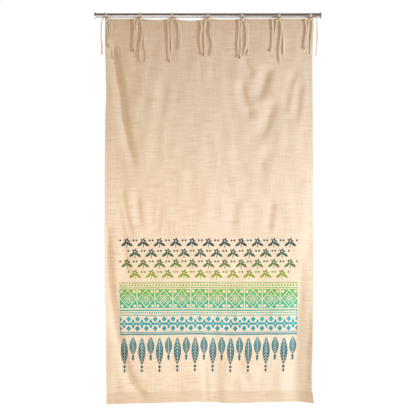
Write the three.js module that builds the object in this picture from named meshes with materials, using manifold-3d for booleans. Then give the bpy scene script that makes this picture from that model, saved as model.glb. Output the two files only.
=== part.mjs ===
// A tie-top curtain: one panel of slub cloth, hung from a straight metal rod by seven knotted ties.
// Millimetres, +Z up. The rod lies along X with its middle at the origin.
// The cloth's face looks along -Y.
import * as THREE from "three";
import { mergeVertices } from "three/addons/utils/BufferGeometryUtils.js";
import Module from "manifold-3d";

const wasm = await Module();
wasm.setup();

// Rod and its end caps
const ROD_SPAN = 1464; // between the flat outer faces of the two caps
const ROD_RADIUS = 14;
const ROD_WALL = 1.2;
const ROUND_SIDES = 32;
const CAP_SPIGOT = 24; // the part of a cap that plugs the tube
const CAP_COLLAR = 4;
const CAP_COLLAR_RADIUS = 14.8;
const CAP_FLARE = 12;
const CAP_FLARE_STEPS = 5;
const CAP_EDGE = 2;
const CAP_RADIUS = 24;
const FIT_GAP = 0.3;

// Cloth panel, as it hangs
const PANEL_LEFT = -663;
const PANEL_WIDTH = 1342;
const PANEL_DROP = 2488; // heading edge to hem edge
const HEADING_DROP = 19; // rod axis to the heading edge at a tie
const CLOTH = 2;
const ROWS = 34;
const COLUMN_SPANS = [ // closer where the folds are sharp
  { until: 220, columns: 14 },
  { until: 620, columns: 11 },
  { until: 760, columns: 8 },
  { until: 860, columns: 4 },
  { until: 1110, columns: 12 },
  { until: 1210, columns: 4 },
  { until: PANEL_WIDTH, columns: 9 },
];

// Heading: how far the edge sags in each bay between two ties, and how far down that is felt
const BAY_SAGS = [2, 9, 14, 7, 3, 2];
const SAG_REACH = 320;

// Side edges and hem: how far each stands from its straight line
const EDGE_SHIFTS = [
  { down: 0, left: 0, right: 3 },
  { down: 200, left: 0, right: -3 },
  { down: 350, left: 4, right: -3 },
  { down: 500, left: 6, right: -2 },
  { down: 620, left: 1, right: -1 },
  { down: 900, left: -1, right: 1 },
  { down: 1150, left: -2, right: -1 },
  { down: 1450, left: -2, right: 3 },
  { down: 1750, left: 0, right: 1 },
  { down: 1900, left: 6, right: -2 },
  { down: 2100, left: 6, right: -5 },
  { down: 2300, left: 7, right: -11 },
  { down: 2360, left: 7, right: -10 },
  { down: 2488, left: 8, right: 3 },
];
const HEM_DIPS = [
  { across: 0, dip: 5 },
  { across: 80, dip: 3 },
  { across: 180, dip: -1 },
  { across: 300, dip: -3 },
  { across: 480, dip: -8 },
  { across: 590, dip: -13 },
  { across: 690, dip: -6 },
  { across: 800, dip: -2 },
  { across: 930, dip: -5 },
  { across: 1090, dip: -11 },
  { across: 1250, dip: -10 },
  { across: 1342, dip: -4 },
];
const HEM_REACH = 500;

// Side edges turned forward (negative) or back, over a strip of this width
const EDGE_CURL_WIDTH = 85;
const EDGE_CURLS = [
  { down: 0, left: 0, right: 0 },
  { down: 420, left: 4, right: 5 },
  { down: 950, left: -7, right: 9 },
  { down: 1450, left: -9, right: 8 },
  { down: 1800, left: -2, right: -12 },
  { down: 2150, left: 4, right: -34 },
  { down: 2488, left: -3, right: -42 },
];

// Broad swells of the whole drop, towards the viewer
const SWELLS = [
  { across: 250, down: 650, wide: 130, tall: 500, forward: 9 },
  { across: 620, down: 1100, wide: 170, tall: 800, forward: 7 },
  { across: 1010, down: 250, wide: 90, tall: 200, forward: 7 },
  { across: 1150, down: 1300, wide: 150, tall: 700, forward: 10 },
  { across: 330, down: 2250, wide: 120, tall: 350, forward: 12 },
  { across: 560, down: 2300, wide: 80, tall: 420, forward: 8 },
  { across: 940, down: 2150, wide: 110, tall: 380, forward: 10 },
  { across: 1160, down: 2300, wide: 90, tall: 420, forward: 8 },
];

// Soft troughs: the line of each across and down the panel, its depth, how far it reaches to each side,
// and the share of its length over which it fades in and out
const TROUGHS = [
  { depth: 27, reach: 30, fade: [0.1, 0.3],
    line: [[40, 130], [66, 300], [94, 480], [134, 725], [168, 880], [215, 1040]] },
  { depth: 13, reach: 24, fade: [0.3, 0.3],
    line: [[63, 1040], [79, 1169], [112, 1363], [128, 1557], [167, 1699], [205, 1809]] },
  { depth: 11, reach: 22, fade: [0.3, 0.3], line: [[108, 1072], [130, 1234], [175, 1440]] },
  { depth: 10, reach: 24, fade: [0.3, 0.35], line: [[198, 1080], [216, 1240], [240, 1410]] },
  { depth: 9, reach: 26, fade: [0.35, 0.35], line: [[309, 1110], [309, 1280], [305, 1450]] },
  { depth: 7, reach: 22, fade: [0.35, 0.35], line: [[356, 1170], [347, 1300], [333, 1430]] },
  { depth: 27, reach: 28, fade: [0.2, 0.1],
    line: [[14, 1270], [18, 1480], [30, 1667], [61, 1944], [115, 2183], [169, 2351], [270, 2470]] },
  { depth: 6, reach: 30, fade: [0.3, 0.3],
    line: [[245, 2160], [272, 2290], [340, 2358], [425, 2345], [486, 2250]] },
  { depth: 10, reach: 16, fade: [0.4, 0], line: [[651, 2140], [651, 2332], [651, 2500]] },
  { depth: 15, reach: 42, fade: [0.4, 0], line: [[704, 1980], [712, 2230], [722, 2500]] },
  { depth: 8, reach: 30, fade: [0.3, 0.3],
    line: [[868, 2160], [905, 2300], [955, 2375], [1013, 2306], [1068, 2190]] },
  { depth: 20, reach: 46, fade: [0.4, 0],
    line: [[1258, 1500], [1246, 1783], [1240, 1977], [1234, 2171], [1226, 2500]] },
  { depth: 12, reach: 26, fade: [0.3, 0.3], line: [[890, 240], [922, 310], [966, 385]] },
  { depth: 18, reach: 30, fade: [0.3, 0.25], line: [[872, 385], [893, 515], [960, 660]] },
  { depth: 17, reach: 38, fade: [0.3, 0.25], line: [[1078, 290], [1026, 410], [978, 548]] },
  { depth: 17, reach: 38, fade: [0.3, 0.25], line: [[1102, 495], [1050, 650], [1000, 800]] },
  { depth: 11, reach: 26, fade: [0.3, 0.3], line: [[1230, 305], [1185, 459], [1164, 630]] },
  { depth: 9, reach: 26, fade: [0.3, 0.35], line: [[1274, 370], [1250, 556], [1220, 715]] },
  { depth: 7, reach: 38, fade: [0.3, 0.3], line: [[1084, 845], [1030, 905], [976, 965]] },
  { depth: 5, reach: 50, fade: [0.35, 0.35], line: [[816, 850], [868, 930], [920, 1010]] },
  { depth: 9, reach: 32, fade: [0.35, 0.35], line: [[866, 1110], [834, 1266], [790, 1405]] },
  { depth: 9, reach: 26, fade: [0.35, 0.3], line: [[1084, 1140], [1065, 1298], [1036, 1410]] },
  { depth: 6, reach: 34, fade: [0.35, 0.35], line: [[580, 900], [550, 1080], [580, 1214], [552, 1390]] },
  { depth: 4, reach: 30, fade: [0.3, 0.3], line: [[390, 330], [360, 588], [335, 891], [340, 1040]] },
];
const TROUGH_STEPS = 24;
const TROUGH_LIP = 0.4; // how much the cloth rises beside a trough
const TROUGH_SKEW = 1.35; // how much further a trough reaches on its left

// Ties: flat strips of the same cloth
const TIE_WIDTH = 15;
const TIE_THICK = 1.6;
const TIE_ROD_GAP = 0.4;
const TIE_BACK_GAP = 0.5; // sewn tab to the back of the heading
const TIE_FACE_GAP = 4; // hanging strips to the face of the panel
const TAB_LOW = 62; // below the rod axis
const KNOT_Y = -13.5;
const KNOT_Z = -23;
const KNOT_RADII = [10, 6.5, 8.5];
const HANG_START = 70; // depth below the rod axis by which a strip lies near the panel
const STEP_GROWTH = 1.4; // above 1, a strip's steps are shortest at the knot
const END_STEPS = 9;
const LOOP_STEPS = 8;
const WRAP_STEPS = 14;

// A tie has a loop and two free ends. Each line lists places after the knot: sideways and below the rod axis.
// turn is the strip's angle at the knot and at its end: 0 is edge on to the viewer and 90 is flat.
// layer counts the strips that hang behind it. lean is how far the wrap stands aside on top of the rod.
const TIES = [
  { x: -652, lean: -10,
    loop: { layer: 2, turn: [30, 80],
      down: [[-5, 46], [5, 100], [10, 165], [14, 208]],
      up: [[14, 208], [23, 165], [22, 100], [15, 50]] },
    ends: [
      { layer: 0, turn: [15, 40],
        line: [[-20, 19], [-32, 46], [-35, 94], [-36, 145], [-30, 200], [-32, 250]] },
      { layer: 0, turn: [30, 75],
        line: [[15, 34], [30, 70], [30, 110], [30, 182], [38, 223], [43, 278]] },
    ] },
  { x: -438, lean: 0,
    loop: { layer: 1, turn: [30, 70],
      down: [[-22, 20], [-37, 34], [-32, 70], [-36, 125], [-40, 190], [-38, 240]],
      up: [[-38, 240], [-29, 190], [-24, 125], [-19, 70], [-14, 35]] },
    ends: [
      { layer: 2, turn: [40, 75],
        line: [[11, 50], [17, 94], [14, 143], [5, 190], [1, 245], [6, 284], [14, 312]] },
      { layer: 0, turn: [35, 85],
        line: [[19, 42], [32, 80], [32, 140], [32, 202], [41, 245], [38, 284], [30, 312]] },
    ] },
  { x: -231, lean: 2,
    loop: { layer: 1, turn: [35, 80],
      down: [[-19, 22], [-27, 44], [-23, 105], [-23, 169], [-21, 233], [-14, 306]],
      up: [[-14, 306], [0, 268], [10, 228], [12, 180], [8, 128], [5, 70]] },
    ends: [
      { layer: 1, turn: [35, 85],
        line: [[18, 21], [38, 44], [47, 70], [44, 118], [42, 169], [47, 229]] },
      { layer: 0, turn: [30, 45],
        line: [[28, 31], [57, 66], [69, 140], [80, 210]] },
    ] },
  { x: 3, lean: -4,
    loop: { layer: 1, turn: [30, 70],
      down: [[-26, 21], [-44, 40], [-41, 79], [-49, 130], [-49, 182], [-41, 230], [-29, 268]],
      up: [[-29, 268], [-14, 238], [-11, 190], [-15, 126], [-15, 70], [-13, 36]] },
    ends: [
      { layer: 2, turn: [45, 85],
        line: [[16, 58], [13, 105], [21, 143], [29, 182], [24, 212], [17, 240], [16, 268]] },
      { layer: 0, turn: [30, 60],
        line: [[20, 30], [42, 61], [48, 113], [46, 158]] },
    ] },
  { x: 223, lean: 1,
    loop: { layer: 1, turn: [35, 75],
      down: [[-16, 24], [-23, 42], [-17, 81], [-21, 120], [-26, 168], [-26, 223], [-15, 282]],
      up: [[-15, 282], [-5, 223], [-4, 171], [-7, 120], [-5, 70], [-6, 38]] },
    ends: [
      { layer: 2, turn: [40, 85],
        line: [[17, 48], [26, 80], [29, 130], [30, 172], [25, 205], [14, 232], [9, 262]] },
      { layer: 0, turn: [30, 70],
        line: [[20, 33], [36, 64], [38, 139], [40, 204], [36, 262]] },
    ] },
  { x: 462, lean: 1,
    loop: { layer: 1, turn: [35, 80],
      down: [[-26, 19], [-44, 30], [-43, 56], [-43, 107], [-44, 169], [-48, 210], [-55, 242]],
      up: [[-55, 242], [-37, 197], [-28, 132], [-19, 81], [-14, 42]] },
    ends: [
      { layer: 2, turn: [45, 85],
        line: [[13, 60], [15, 105], [9, 156], [2, 207], [3, 258], [9, 311]] },
      { layer: 0, turn: [30, 45],
        line: [[17, 48], [27, 100], [29, 163], [30, 210], [31, 262]] },
    ] },
  { x: 664, lean: 12,
    loop: { layer: 1, turn: [30, 60],
      down: [[-21, 20], [-32, 36], [-24, 74], [-28, 126], [-35, 171], [-40, 222]],
      up: [[-40, 222], [-25, 171], [-16, 113], [-12, 68], [-9, 37]] },
    ends: [
      { layer: 0, turn: [35, 60],
        line: [[11, 36], [13, 70], [10, 132], [6, 184], [4, 255]] },
      { layer: 1, turn: [15, 35],
        line: [[22, 12], [36, 24], [41, 68], [42, 120], [42, 171], [38, 220], [33, 262]] },
    ] },
];
const LAYER_STEP = 4; // between strips of one tie that hang one before the other
const END_FLARE = 1.15; // a free end's width at its tip, in strip widths
const KNOT_PINCH = 0.5; // a strip's width in the knot, in strip widths

const CLOTH_COLOUR = 0xdcc3a0;
const ROD_COLOUR = 0xb4aeaa;

const finish = (color, roughness, metalness) => () =>
  new THREE.MeshStandardMaterial({ color, roughness, metalness });
const clothMaterial = finish(CLOTH_COLOUR, 0.9, 0);
const rodMaterial = finish(ROD_COLOUR, 0.25, 1);

// A smooth curve through one column of a table, read at a place
function columnAt(rows, place, column, at) {
  const found = rows.findIndex((row) => row[place] >= at);
  const next = found < 0 ? rows.length - 1 : Math.max(found, 1);
  const from = rows[next - 1];
  const to = rows[next];
  const share = THREE.MathUtils.smoothstep(at, from[place], to[place]);
  return THREE.MathUtils.lerp(from[column], to[column], share);
}

// Lowers the heading between two neighbouring ties
function headingSag(across) {
  const x = PANEL_LEFT + across;
  const bay = TIES.findIndex((tie, i) => i < BAY_SAGS.length && x >= tie.x && x < TIES[i + 1].x);
  if (bay < 0) return 0;
  const share = (x - TIES[bay].x) / (TIES[bay + 1].x - TIES[bay].x);
  return BAY_SAGS[bay] * 4 * share * (1 - share);
}

const troughCurves = TROUGHS.map(({ line, ...sizes }) => ({
  ...sizes,
  points: new THREE.SplineCurve(line.map(([across, down]) => new THREE.Vector2(across, down)))
    .getSpacedPoints(TROUGH_STEPS),
}));

// How far one trough presses the cloth back at a place
function troughDepth({ depth, reach, fade, points }, place) {
  let nearest = Infinity;
  let along = 0;
  let leftward = false;
  const foot = new THREE.Vector2();
  for (let i = 0; i < TROUGH_STEPS; i++) {
    const run = points[i + 1].clone().sub(points[i]);
    const offset = place.clone().sub(points[i]);
    const share = THREE.MathUtils.clamp(offset.dot(run) / run.lengthSq(), 0, 1);
    const gap = foot.copy(points[i]).addScaledVector(run, share).distanceTo(place);
    if (gap < nearest) {
      nearest = gap;
      along = (i + share) / TROUGH_STEPS;
      leftward = run.cross(offset) > 0;
    }
  }
  const off = nearest / (leftward ? TROUGH_SKEW * reach : reach);
  const taper = (share, length) => (length ? THREE.MathUtils.smoothstep(share, 0, length) : 1);
  const strength = taper(along, fade[0]) * taper(1 - along, fade[1]);
  return depth * strength * Math.exp(-off * off) * (1 - TROUGH_LIP * off * off);
}

// How far the cloth's middle surface lies behind the rod's axis
function clothBack(across, down) {
  const place = new THREE.Vector2(across, down);
  let back = troughCurves.reduce((sum, trough) => sum + troughDepth(trough, place), 0);
  for (const swell of SWELLS) {
    const wide = (across - swell.across) / swell.wide;
    const tall = (down - swell.down) / swell.tall;
    back -= swell.forward * Math.exp(-wide * wide - tall * tall);
  }
  const curl = (distance) => Math.max(0, 1 - distance / EDGE_CURL_WIDTH) ** 2;
  back += columnAt(EDGE_CURLS, "down", "left", down) * curl(across);
  back += columnAt(EDGE_CURLS, "down", "right", down) * curl(PANEL_WIDTH - across);
  return back;
}

// A place on the cloth's middle surface
function clothPoint(across, down) {
  const share = across / PANEL_WIDTH;
  const left = columnAt(EDGE_SHIFTS, "down", "left", down);
  const right = columnAt(EDGE_SHIFTS, "down", "right", down);
  const sag = headingSag(across) * Math.exp(-down / SAG_REACH);
  const dip = columnAt(HEM_DIPS, "across", "dip", across) * Math.exp((down - PANEL_DROP) / HEM_REACH);
  return new THREE.Vector3(
    PANEL_LEFT + across + THREE.MathUtils.lerp(left, right, share),
    clothBack(across, down),
    -HEADING_DROP - down - sag - dip,
  );
}

// A closed solid from rows of points, each of which goes out along one face and returns along the other.
// Both faces are split along the same diagonal, so that the wall keeps its thickness where a fold twists.
function solidOfRows(rows) {
  const around = rows[0].length;
  const positions = rows.flat().flatMap((point) => point.toArray());
  const index = [];
  for (let r = 0; r + 1 < rows.length; r++) {
    for (let i = 0; i < around; i++) {
      const a = r * around + i;
      const b = r * around + ((i + 1) % around);
      const opposite = b + around;
      if (i < around / 2) index.push(a, b, a + around, b, opposite, a + around);
      else index.push(a, b, opposite, a, opposite, a + around);
    }
  }
  const end = (rows.length - 1) * around;
  for (let i = 0; i + 1 < around / 2; i++) {
    const far = around - 1 - i;
    index.push(i, far, i + 1, i + 1, far, far - 1);
    index.push(end + i, end + i + 1, end + far, end + i + 1, end + far - 1, end + far);
  }
  return new THREE.BufferGeometry()
    .setAttribute("position", new THREE.Float32BufferAttribute(positions, 3))
    .setIndex(index);
}

const columnPlaces = COLUMN_SPANS.flatMap(({ until, columns }, i) => {
  const from = i ? COLUMN_SPANS[i - 1].until : 0;
  return Array.from({ length: columns }, (_, c) => from + ((until - from) * c) / columns);
}).concat(PANEL_WIDTH);

// The panel: its middle surface with half the cloth's thickness to each side
function panelGeometry() {
  const step = 1; // for the slope of the cloth
  const rows = Array.from({ length: ROWS + 1 }, (_, r) => {
    const down = (PANEL_DROP * r) / ROWS;
    const face = [];
    const back = [];
    for (const across of columnPlaces) {
      const middle = clothPoint(across, down);
      const alongX = clothPoint(across + step, down).sub(clothPoint(across - step, down));
      const alongZ = clothPoint(across, down - step).sub(clothPoint(across, down + step));
      const backward = alongZ.cross(alongX).normalize();
      face.push(middle.clone().addScaledVector(backward, -CLOTH / 2));
      back.push(middle.clone().addScaledVector(backward, CLOTH / 2));
    }
    return [...back, ...face.reverse()];
  });
  return solidOfRows(rows);
}

// A flat strip along a smooth line. Each step says how wide it is and its angle, from edge on at 0.
function stripGeometry(points, widthAt, turnAt) {
  const last = points.length - 1;
  const viewer = new THREE.Vector3(0, 1, 0);
  const rows = points.map((centre, i) => {
    const run = points[Math.min(i + 1, last)].clone().sub(points[Math.max(i - 1, 0)]).normalize();
    const edgeOn = viewer.clone().addScaledVector(run, -viewer.dot(run)).normalize();
    const wide = edgeOn.applyAxisAngle(run, turnAt(i / last)).multiplyScalar(widthAt(i / last) / 2);
    const thick = run.clone().cross(wide).setLength(TIE_THICK / 2);
    return [[1, 1], [-1, 1], [-1, -1], [1, -1]].map(([w, t]) =>
      centre.clone().addScaledVector(wide, w).addScaledVector(thick, t));
  });
  return solidOfRows(rows);
}

// The foremost place of the panel's face behind a strip
function faceBehind(x, z) {
  const places = [-1, 0, 1].map((side) => x - PANEL_LEFT + (side * TIE_WIDTH) / 2);
  const depths = places.map((across) =>
    clothBack(THREE.MathUtils.clamp(across, 0, PANEL_WIDTH), -z - HEADING_DROP));
  return Math.min(...depths) - CLOTH / 2;
}

// The line of a hanging strip: out of the knot in short steps, then down close to the panel's face
function hangingLine(tie, line, layer, turn, steps) {
  const places = [[0, -KNOT_Z], ...line].map(([side, below]) => new THREE.Vector2(tie.x + side, -below));
  const flat = new THREE.SplineCurve(places);
  return Array.from({ length: steps + 1 }, (_, i) => {
    const share = (i / steps) ** STEP_GROWTH;
    const { x, y: z } = flat.getPointAt(share);
    const reach = (TIE_WIDTH / 2) * Math.cos(turn(i / steps));
    const near = faceBehind(x, z) - TIE_FACE_GAP - layer * LAYER_STEP - reach;
    const hung = THREE.MathUtils.smoothstep(-z, -KNOT_Z, HANG_START);
    return new THREE.Vector3(x, THREE.MathUtils.lerp(KNOT_Y, near, hung), z);
  });
}

const between = ([from, to]) => (share) => THREE.MathUtils.degToRad(THREE.MathUtils.lerp(from, to, share));
const pinched = (share) => THREE.MathUtils.lerp(KNOT_PINCH, 1, THREE.MathUtils.smoothstep(share, 0, 0.3));

function freeEnd(tie, { line, layer, turn }) {
  const points = hangingLine(tie, line, layer, between(turn), END_STEPS);
  const width = (share) => TIE_WIDTH * pinched(share) * THREE.MathUtils.lerp(1, END_FLARE, share ** 4);
  return stripGeometry(points, width, between(turn));
}

// Half of a loop, from the knot to its lowest place
function loopLeg(tie, line, layer, turn) {
  const points = hangingLine(tie, line, layer, between(turn), LOOP_STEPS);
  return stripGeometry(points, (share) => TIE_WIDTH * pinched(share), between(turn));
}

// The strip that is sewn behind the heading, goes up over the rod and comes down to the knot
function wrap(tie) {
  const radius = ROD_RADIUS + TIE_ROD_GAP + TIE_THICK / 2;
  const back = clothBack(tie.x - PANEL_LEFT, 0) + CLOTH / 2 + TIE_BACK_GAP + TIE_THICK / 2;
  const points = [TAB_LOW, TAB_LOW / 2, HEADING_DROP + 3].map((low) => new THREE.Vector3(tie.x, back, -low));
  const first = -30;
  const turned = 225;
  for (let i = 0; i <= WRAP_STEPS; i++) {
    const angle = THREE.MathUtils.degToRad(first + (turned * i) / WRAP_STEPS);
    const side = tie.x + tie.lean * Math.max(0, Math.sin(angle));
    points.push(new THREE.Vector3(side, radius * Math.cos(angle), radius * Math.sin(angle)));
  }
  points.push(new THREE.Vector3(tie.x, KNOT_Y, KNOT_Z));
  const pinch = (share) => THREE.MathUtils.lerp(1, KNOT_PINCH, THREE.MathUtils.smoothstep(share, 0.6, 1));
  return acrossStrip(points, (share) => TIE_WIDTH * pinch(share));
}

// A strip whose width lies along X, for lines that go round the rod
function acrossStrip(points, widthAt) {
  const last = points.length - 1;
  const rows = points.map((centre, i) => {
    const run = points[Math.min(i + 1, last)].clone().sub(points[Math.max(i - 1, 0)]);
    const thick = new THREE.Vector3(0, run.z, -run.y).setLength(TIE_THICK / 2);
    const half = widthAt(i / last) / 2;
    return [[1, 1], [-1, 1], [-1, -1], [1, -1]].map(([w, t]) =>
      centre.clone().addScaledVector(thick, t).add(new THREE.Vector3(w * half, 0, 0)));
  });
  return solidOfRows(rows);
}

// The strip's other half: from the sewn tab over the heading edge to the knot
function frontLeg(tie) {
  const back = clothBack(tie.x - PANEL_LEFT, 0) + CLOTH / 2 + TIE_BACK_GAP + TIE_THICK / 2;
  const gapMiddle = -(ROD_RADIUS + HEADING_DROP) / 2;
  const points = [
    new THREE.Vector3(tie.x, back + 0.6, -HEADING_DROP - 5),
    new THREE.Vector3(tie.x, back + 0.4, -HEADING_DROP),
    new THREE.Vector3(tie.x, 0, gapMiddle),
    new THREE.Vector3(tie.x, KNOT_Y / 2, gapMiddle - 1),
    new THREE.Vector3(tie.x, KNOT_Y, KNOT_Z),
  ];
  return acrossStrip(points, () => TIE_WIDTH * KNOT_PINCH);
}

function knot(tie) {
  return new THREE.IcosahedronGeometry(1, 1).scale(...KNOT_RADII).translate(tie.x, KNOT_Y, KNOT_Z);
}

function toSolid(geometry) {
  const bare = geometry.clone();
  bare.deleteAttribute("normal");
  bare.deleteAttribute("uv");
  const merged = mergeVertices(bare, 1e-4);
  return new wasm.Manifold(new wasm.Mesh({
    numProp: 3,
    vertProperties: merged.attributes.position.array,
    triVerts: new Uint32Array(merged.index.array),
  }));
}

function toGeometry(solid) {
  const { vertProperties, triVerts } = solid.getMesh();
  return new THREE.BufferGeometry()
    .setAttribute("position", new THREE.BufferAttribute(vertProperties, 3))
    .setIndex(new THREE.BufferAttribute(triVerts, 1));
}

// One tie: wrap, front leg, knot, loop and free ends, which are one strip of cloth
function tieGeometry(tie) {
  const { down, up, layer, turn } = tie.loop;
  const pieces = [
    wrap(tie),
    frontLeg(tie),
    knot(tie),
    loopLeg(tie, down, layer, turn),
    loopLeg(tie, [...up].reverse(), layer, turn),
    ...tie.ends.map((end) => freeEnd(tie, end)),
  ];
  return toGeometry(pieces.map(toSolid).reduce((whole, piece) => whole.add(piece)));
}

// A turned piece whose profile lists places along the rod and radii
function turnedAlongX(profile) {
  const points = profile.map(([along, radius]) => new THREE.Vector2(radius, along));
  return new THREE.LatheGeometry(points, ROUND_SIDES).rotateZ(-Math.PI / 2);
}

const capReach = CAP_COLLAR + CAP_FLARE + CAP_EDGE; // from the tube's end to the cap's flat face

function rodGeometry() {
  const half = ROD_SPAN / 2 - capReach - FIT_GAP;
  const bore = ROD_RADIUS - ROD_WALL;
  return turnedAlongX([[-half, bore], [-half, ROD_RADIUS], [half, ROD_RADIUS], [half, bore], [-half, bore]]);
}

function capGeometry() {
  const spigot = ROD_RADIUS - ROD_WALL - FIT_GAP;
  const profile = [[-CAP_SPIGOT, 0], [-CAP_SPIGOT, spigot], [0, spigot], [0, CAP_COLLAR_RADIUS]];
  for (let i = 0; i <= CAP_FLARE_STEPS; i++) {
    const angle = (Math.PI / 2) * (i / CAP_FLARE_STEPS);
    const rise = (CAP_RADIUS - CAP_COLLAR_RADIUS) * (1 - Math.cos(angle));
    profile.push([CAP_COLLAR + CAP_FLARE * Math.sin(angle), CAP_COLLAR_RADIUS + rise]);
  }
  profile.push([capReach, CAP_RADIUS], [capReach, 0]);
  return turnedAlongX(profile);
}

function named(name, geometry, material) {
  const mesh = new THREE.Mesh(geometry, material);
  mesh.name = name;
  return mesh;
}

const curtain = new THREE.Group();
curtain.add(named("rod", rodGeometry(), rodMaterial()));
for (const [side, name] of [[-1, "end_cap_left"], [1, "end_cap_right"]]) {
  const cap = named(name, capGeometry(), rodMaterial());
  cap.position.x = side * (ROD_SPAN / 2 - capReach);
  cap.rotation.z = side < 0 ? Math.PI : 0;
  curtain.add(cap);
}
curtain.add(named("curtain_panel", panelGeometry(), clothMaterial()));
TIES.forEach((tie, i) => curtain.add(named(`tie_${i + 1}`, tieGeometry(tie), clothMaterial())));

export default curtain;
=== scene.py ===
"""Looks of a tie-top curtain: slub cloth with a block-printed border, cloth ties and a satin metal rod.

Objects are in metres with +Z up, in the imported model's frame: the rod lies along X with its middle at the
origin, and the cloth's face looks along -Y. The tables of the cloth's shape are in millimetres.
"""

import logging
import math
from collections.abc import Sequence
from dataclasses import dataclass, field
from enum import Enum

import bmesh
import bpy
import numpy as np
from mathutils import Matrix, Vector

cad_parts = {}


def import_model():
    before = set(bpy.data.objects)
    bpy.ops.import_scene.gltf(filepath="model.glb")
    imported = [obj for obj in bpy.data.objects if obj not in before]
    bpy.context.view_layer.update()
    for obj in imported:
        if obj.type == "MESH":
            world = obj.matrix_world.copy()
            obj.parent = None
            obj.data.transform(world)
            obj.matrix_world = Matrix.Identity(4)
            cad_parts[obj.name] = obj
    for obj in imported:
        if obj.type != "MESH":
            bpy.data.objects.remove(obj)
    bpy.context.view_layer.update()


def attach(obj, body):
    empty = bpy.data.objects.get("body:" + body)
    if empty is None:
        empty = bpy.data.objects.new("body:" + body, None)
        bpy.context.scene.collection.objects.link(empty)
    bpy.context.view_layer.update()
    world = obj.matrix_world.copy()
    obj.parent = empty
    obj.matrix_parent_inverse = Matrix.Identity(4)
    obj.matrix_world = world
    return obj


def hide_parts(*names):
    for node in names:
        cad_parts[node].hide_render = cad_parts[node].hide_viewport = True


log = logging.getLogger("curtain")

Array = np.ndarray
Colour = tuple[float, float, float]
Table = tuple[tuple[float, ...], ...]

MM = 0.001
BODY = "root"
CLOTH_MAP = "Cloth"
INK_SHARE = "ink_share"
# Share of painted shade on the hems, where doubled cloth lets less light through, held at the panel's points.
HEM_SHADE_SHARE = "hem_shade_share"


class Slot(Enum):
    """The record's material slots."""

    CLOTH = "cloth"
    TIE_CLOTH = "tie_cloth"
    ROD_METAL = "rod_metal"


class End(Enum):
    """The rod's two ends, as the direction in which each points along X."""

    LEFT = -1
    RIGHT = 1


# Shape helpers


def smooth_step(value: Array | float, start: float = 0.0, stop: float = 1.0) -> Array:
    """Go from 0 at start to 1 at stop with level ends.

    Args:
        value: where to read the step.
        start: the last place that gives 0.
        stop: the first place that gives 1.

    Returns:
        The step's height at each place.
    """
    share = np.clip((np.asarray(value, dtype=float) - start) / (stop - start), 0.0, 1.0)
    return share * share * (3.0 - 2.0 * share)


def mixed(first: Array | float, second: Array | float, share: Array | float) -> Array:
    """Give the value that lies a share of the way from the first to the second."""
    return first + (second - first) * share


def column_at(table: Table, at: Array, column: int) -> Array:
    """Read one column of a table, with smooth steps between its rows.

    Args:
        table: rows that start with their place, in rising order.
        at: the places to read.
        column: the column to read.

    Returns:
        The column's value at each place.
    """
    rows = np.array(table)
    upper = np.clip(np.searchsorted(rows[:, 0], at), 1, len(rows) - 1)
    low = rows[upper - 1]
    high = rows[upper]
    share = smooth_step((at - low[..., 0]) / (high[..., 0] - low[..., 0]))
    return mixed(low[..., column], high[..., column], share)


def smooth_line(corners: Array, shares: Array, samples: int = 400) -> Array:
    """Follow a smooth curve through given points.

    Args:
        corners: the points, one to a row.
        shares: the places wanted, as shares of the curve's length.
        samples: how finely the length is measured.

    Returns:
        The point of the curve at each share.
    """
    last = len(corners) - 1
    place = np.linspace(0.0, last, samples + 1)
    span = np.minimum(place.astype(int), last - 1)
    part = (place - span)[:, None]
    before = corners[np.maximum(span - 1, 0)]
    start = corners[span]
    stop = corners[span + 1]
    after = corners[np.minimum(span + 2, last)]
    leave = (stop - before) / 2.0
    arrive = (after - start) / 2.0
    cubic = 2.0 * start - 2.0 * stop + leave + arrive
    square = 3.0 * stop - 3.0 * start - 2.0 * leave - arrive
    curve = ((cubic * part + square) * part + leave) * part + start
    steps = np.linalg.norm(np.diff(curve, axis=0), axis=1)
    length = np.concatenate([[0.0], np.cumsum(steps)])
    wanted = np.asarray(shares) * length[-1]
    return np.stack([np.interp(wanted, length, axis) for axis in curve.T], axis=1)


def unit(vectors: Array) -> Array:
    """Scale each row to length 1."""
    return vectors / np.linalg.norm(vectors, axis=-1, keepdims=True)


def ring_faces(rings: int, sides: int, wrapped: bool = False) -> list[tuple[int, ...]]:
    """List the four-sided faces between neighbouring rings of points.

    Args:
        rings: how many rings there are.
        sides: how many points each ring has.
        wrapped: whether the last ring joins the first.

    Returns:
        The corners of each face.
    """
    faces: list[tuple[int, ...]] = []
    for ring in range(rings if wrapped else rings - 1):
        low = ring * sides
        high = (ring + 1) % rings * sides
        for side in range(sides):
            following = (side + 1) % sides
            faces.append((low + side, low + following, high + following, high + side))
    return faces


def linked(name: str, data: bpy.types.ID) -> bpy.types.Object:
    """Make an object of a mesh, a lamp or a camera, and put it in the scene."""
    made = bpy.data.objects.new(name, data)
    bpy.context.scene.collection.objects.link(made)
    return made


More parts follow.
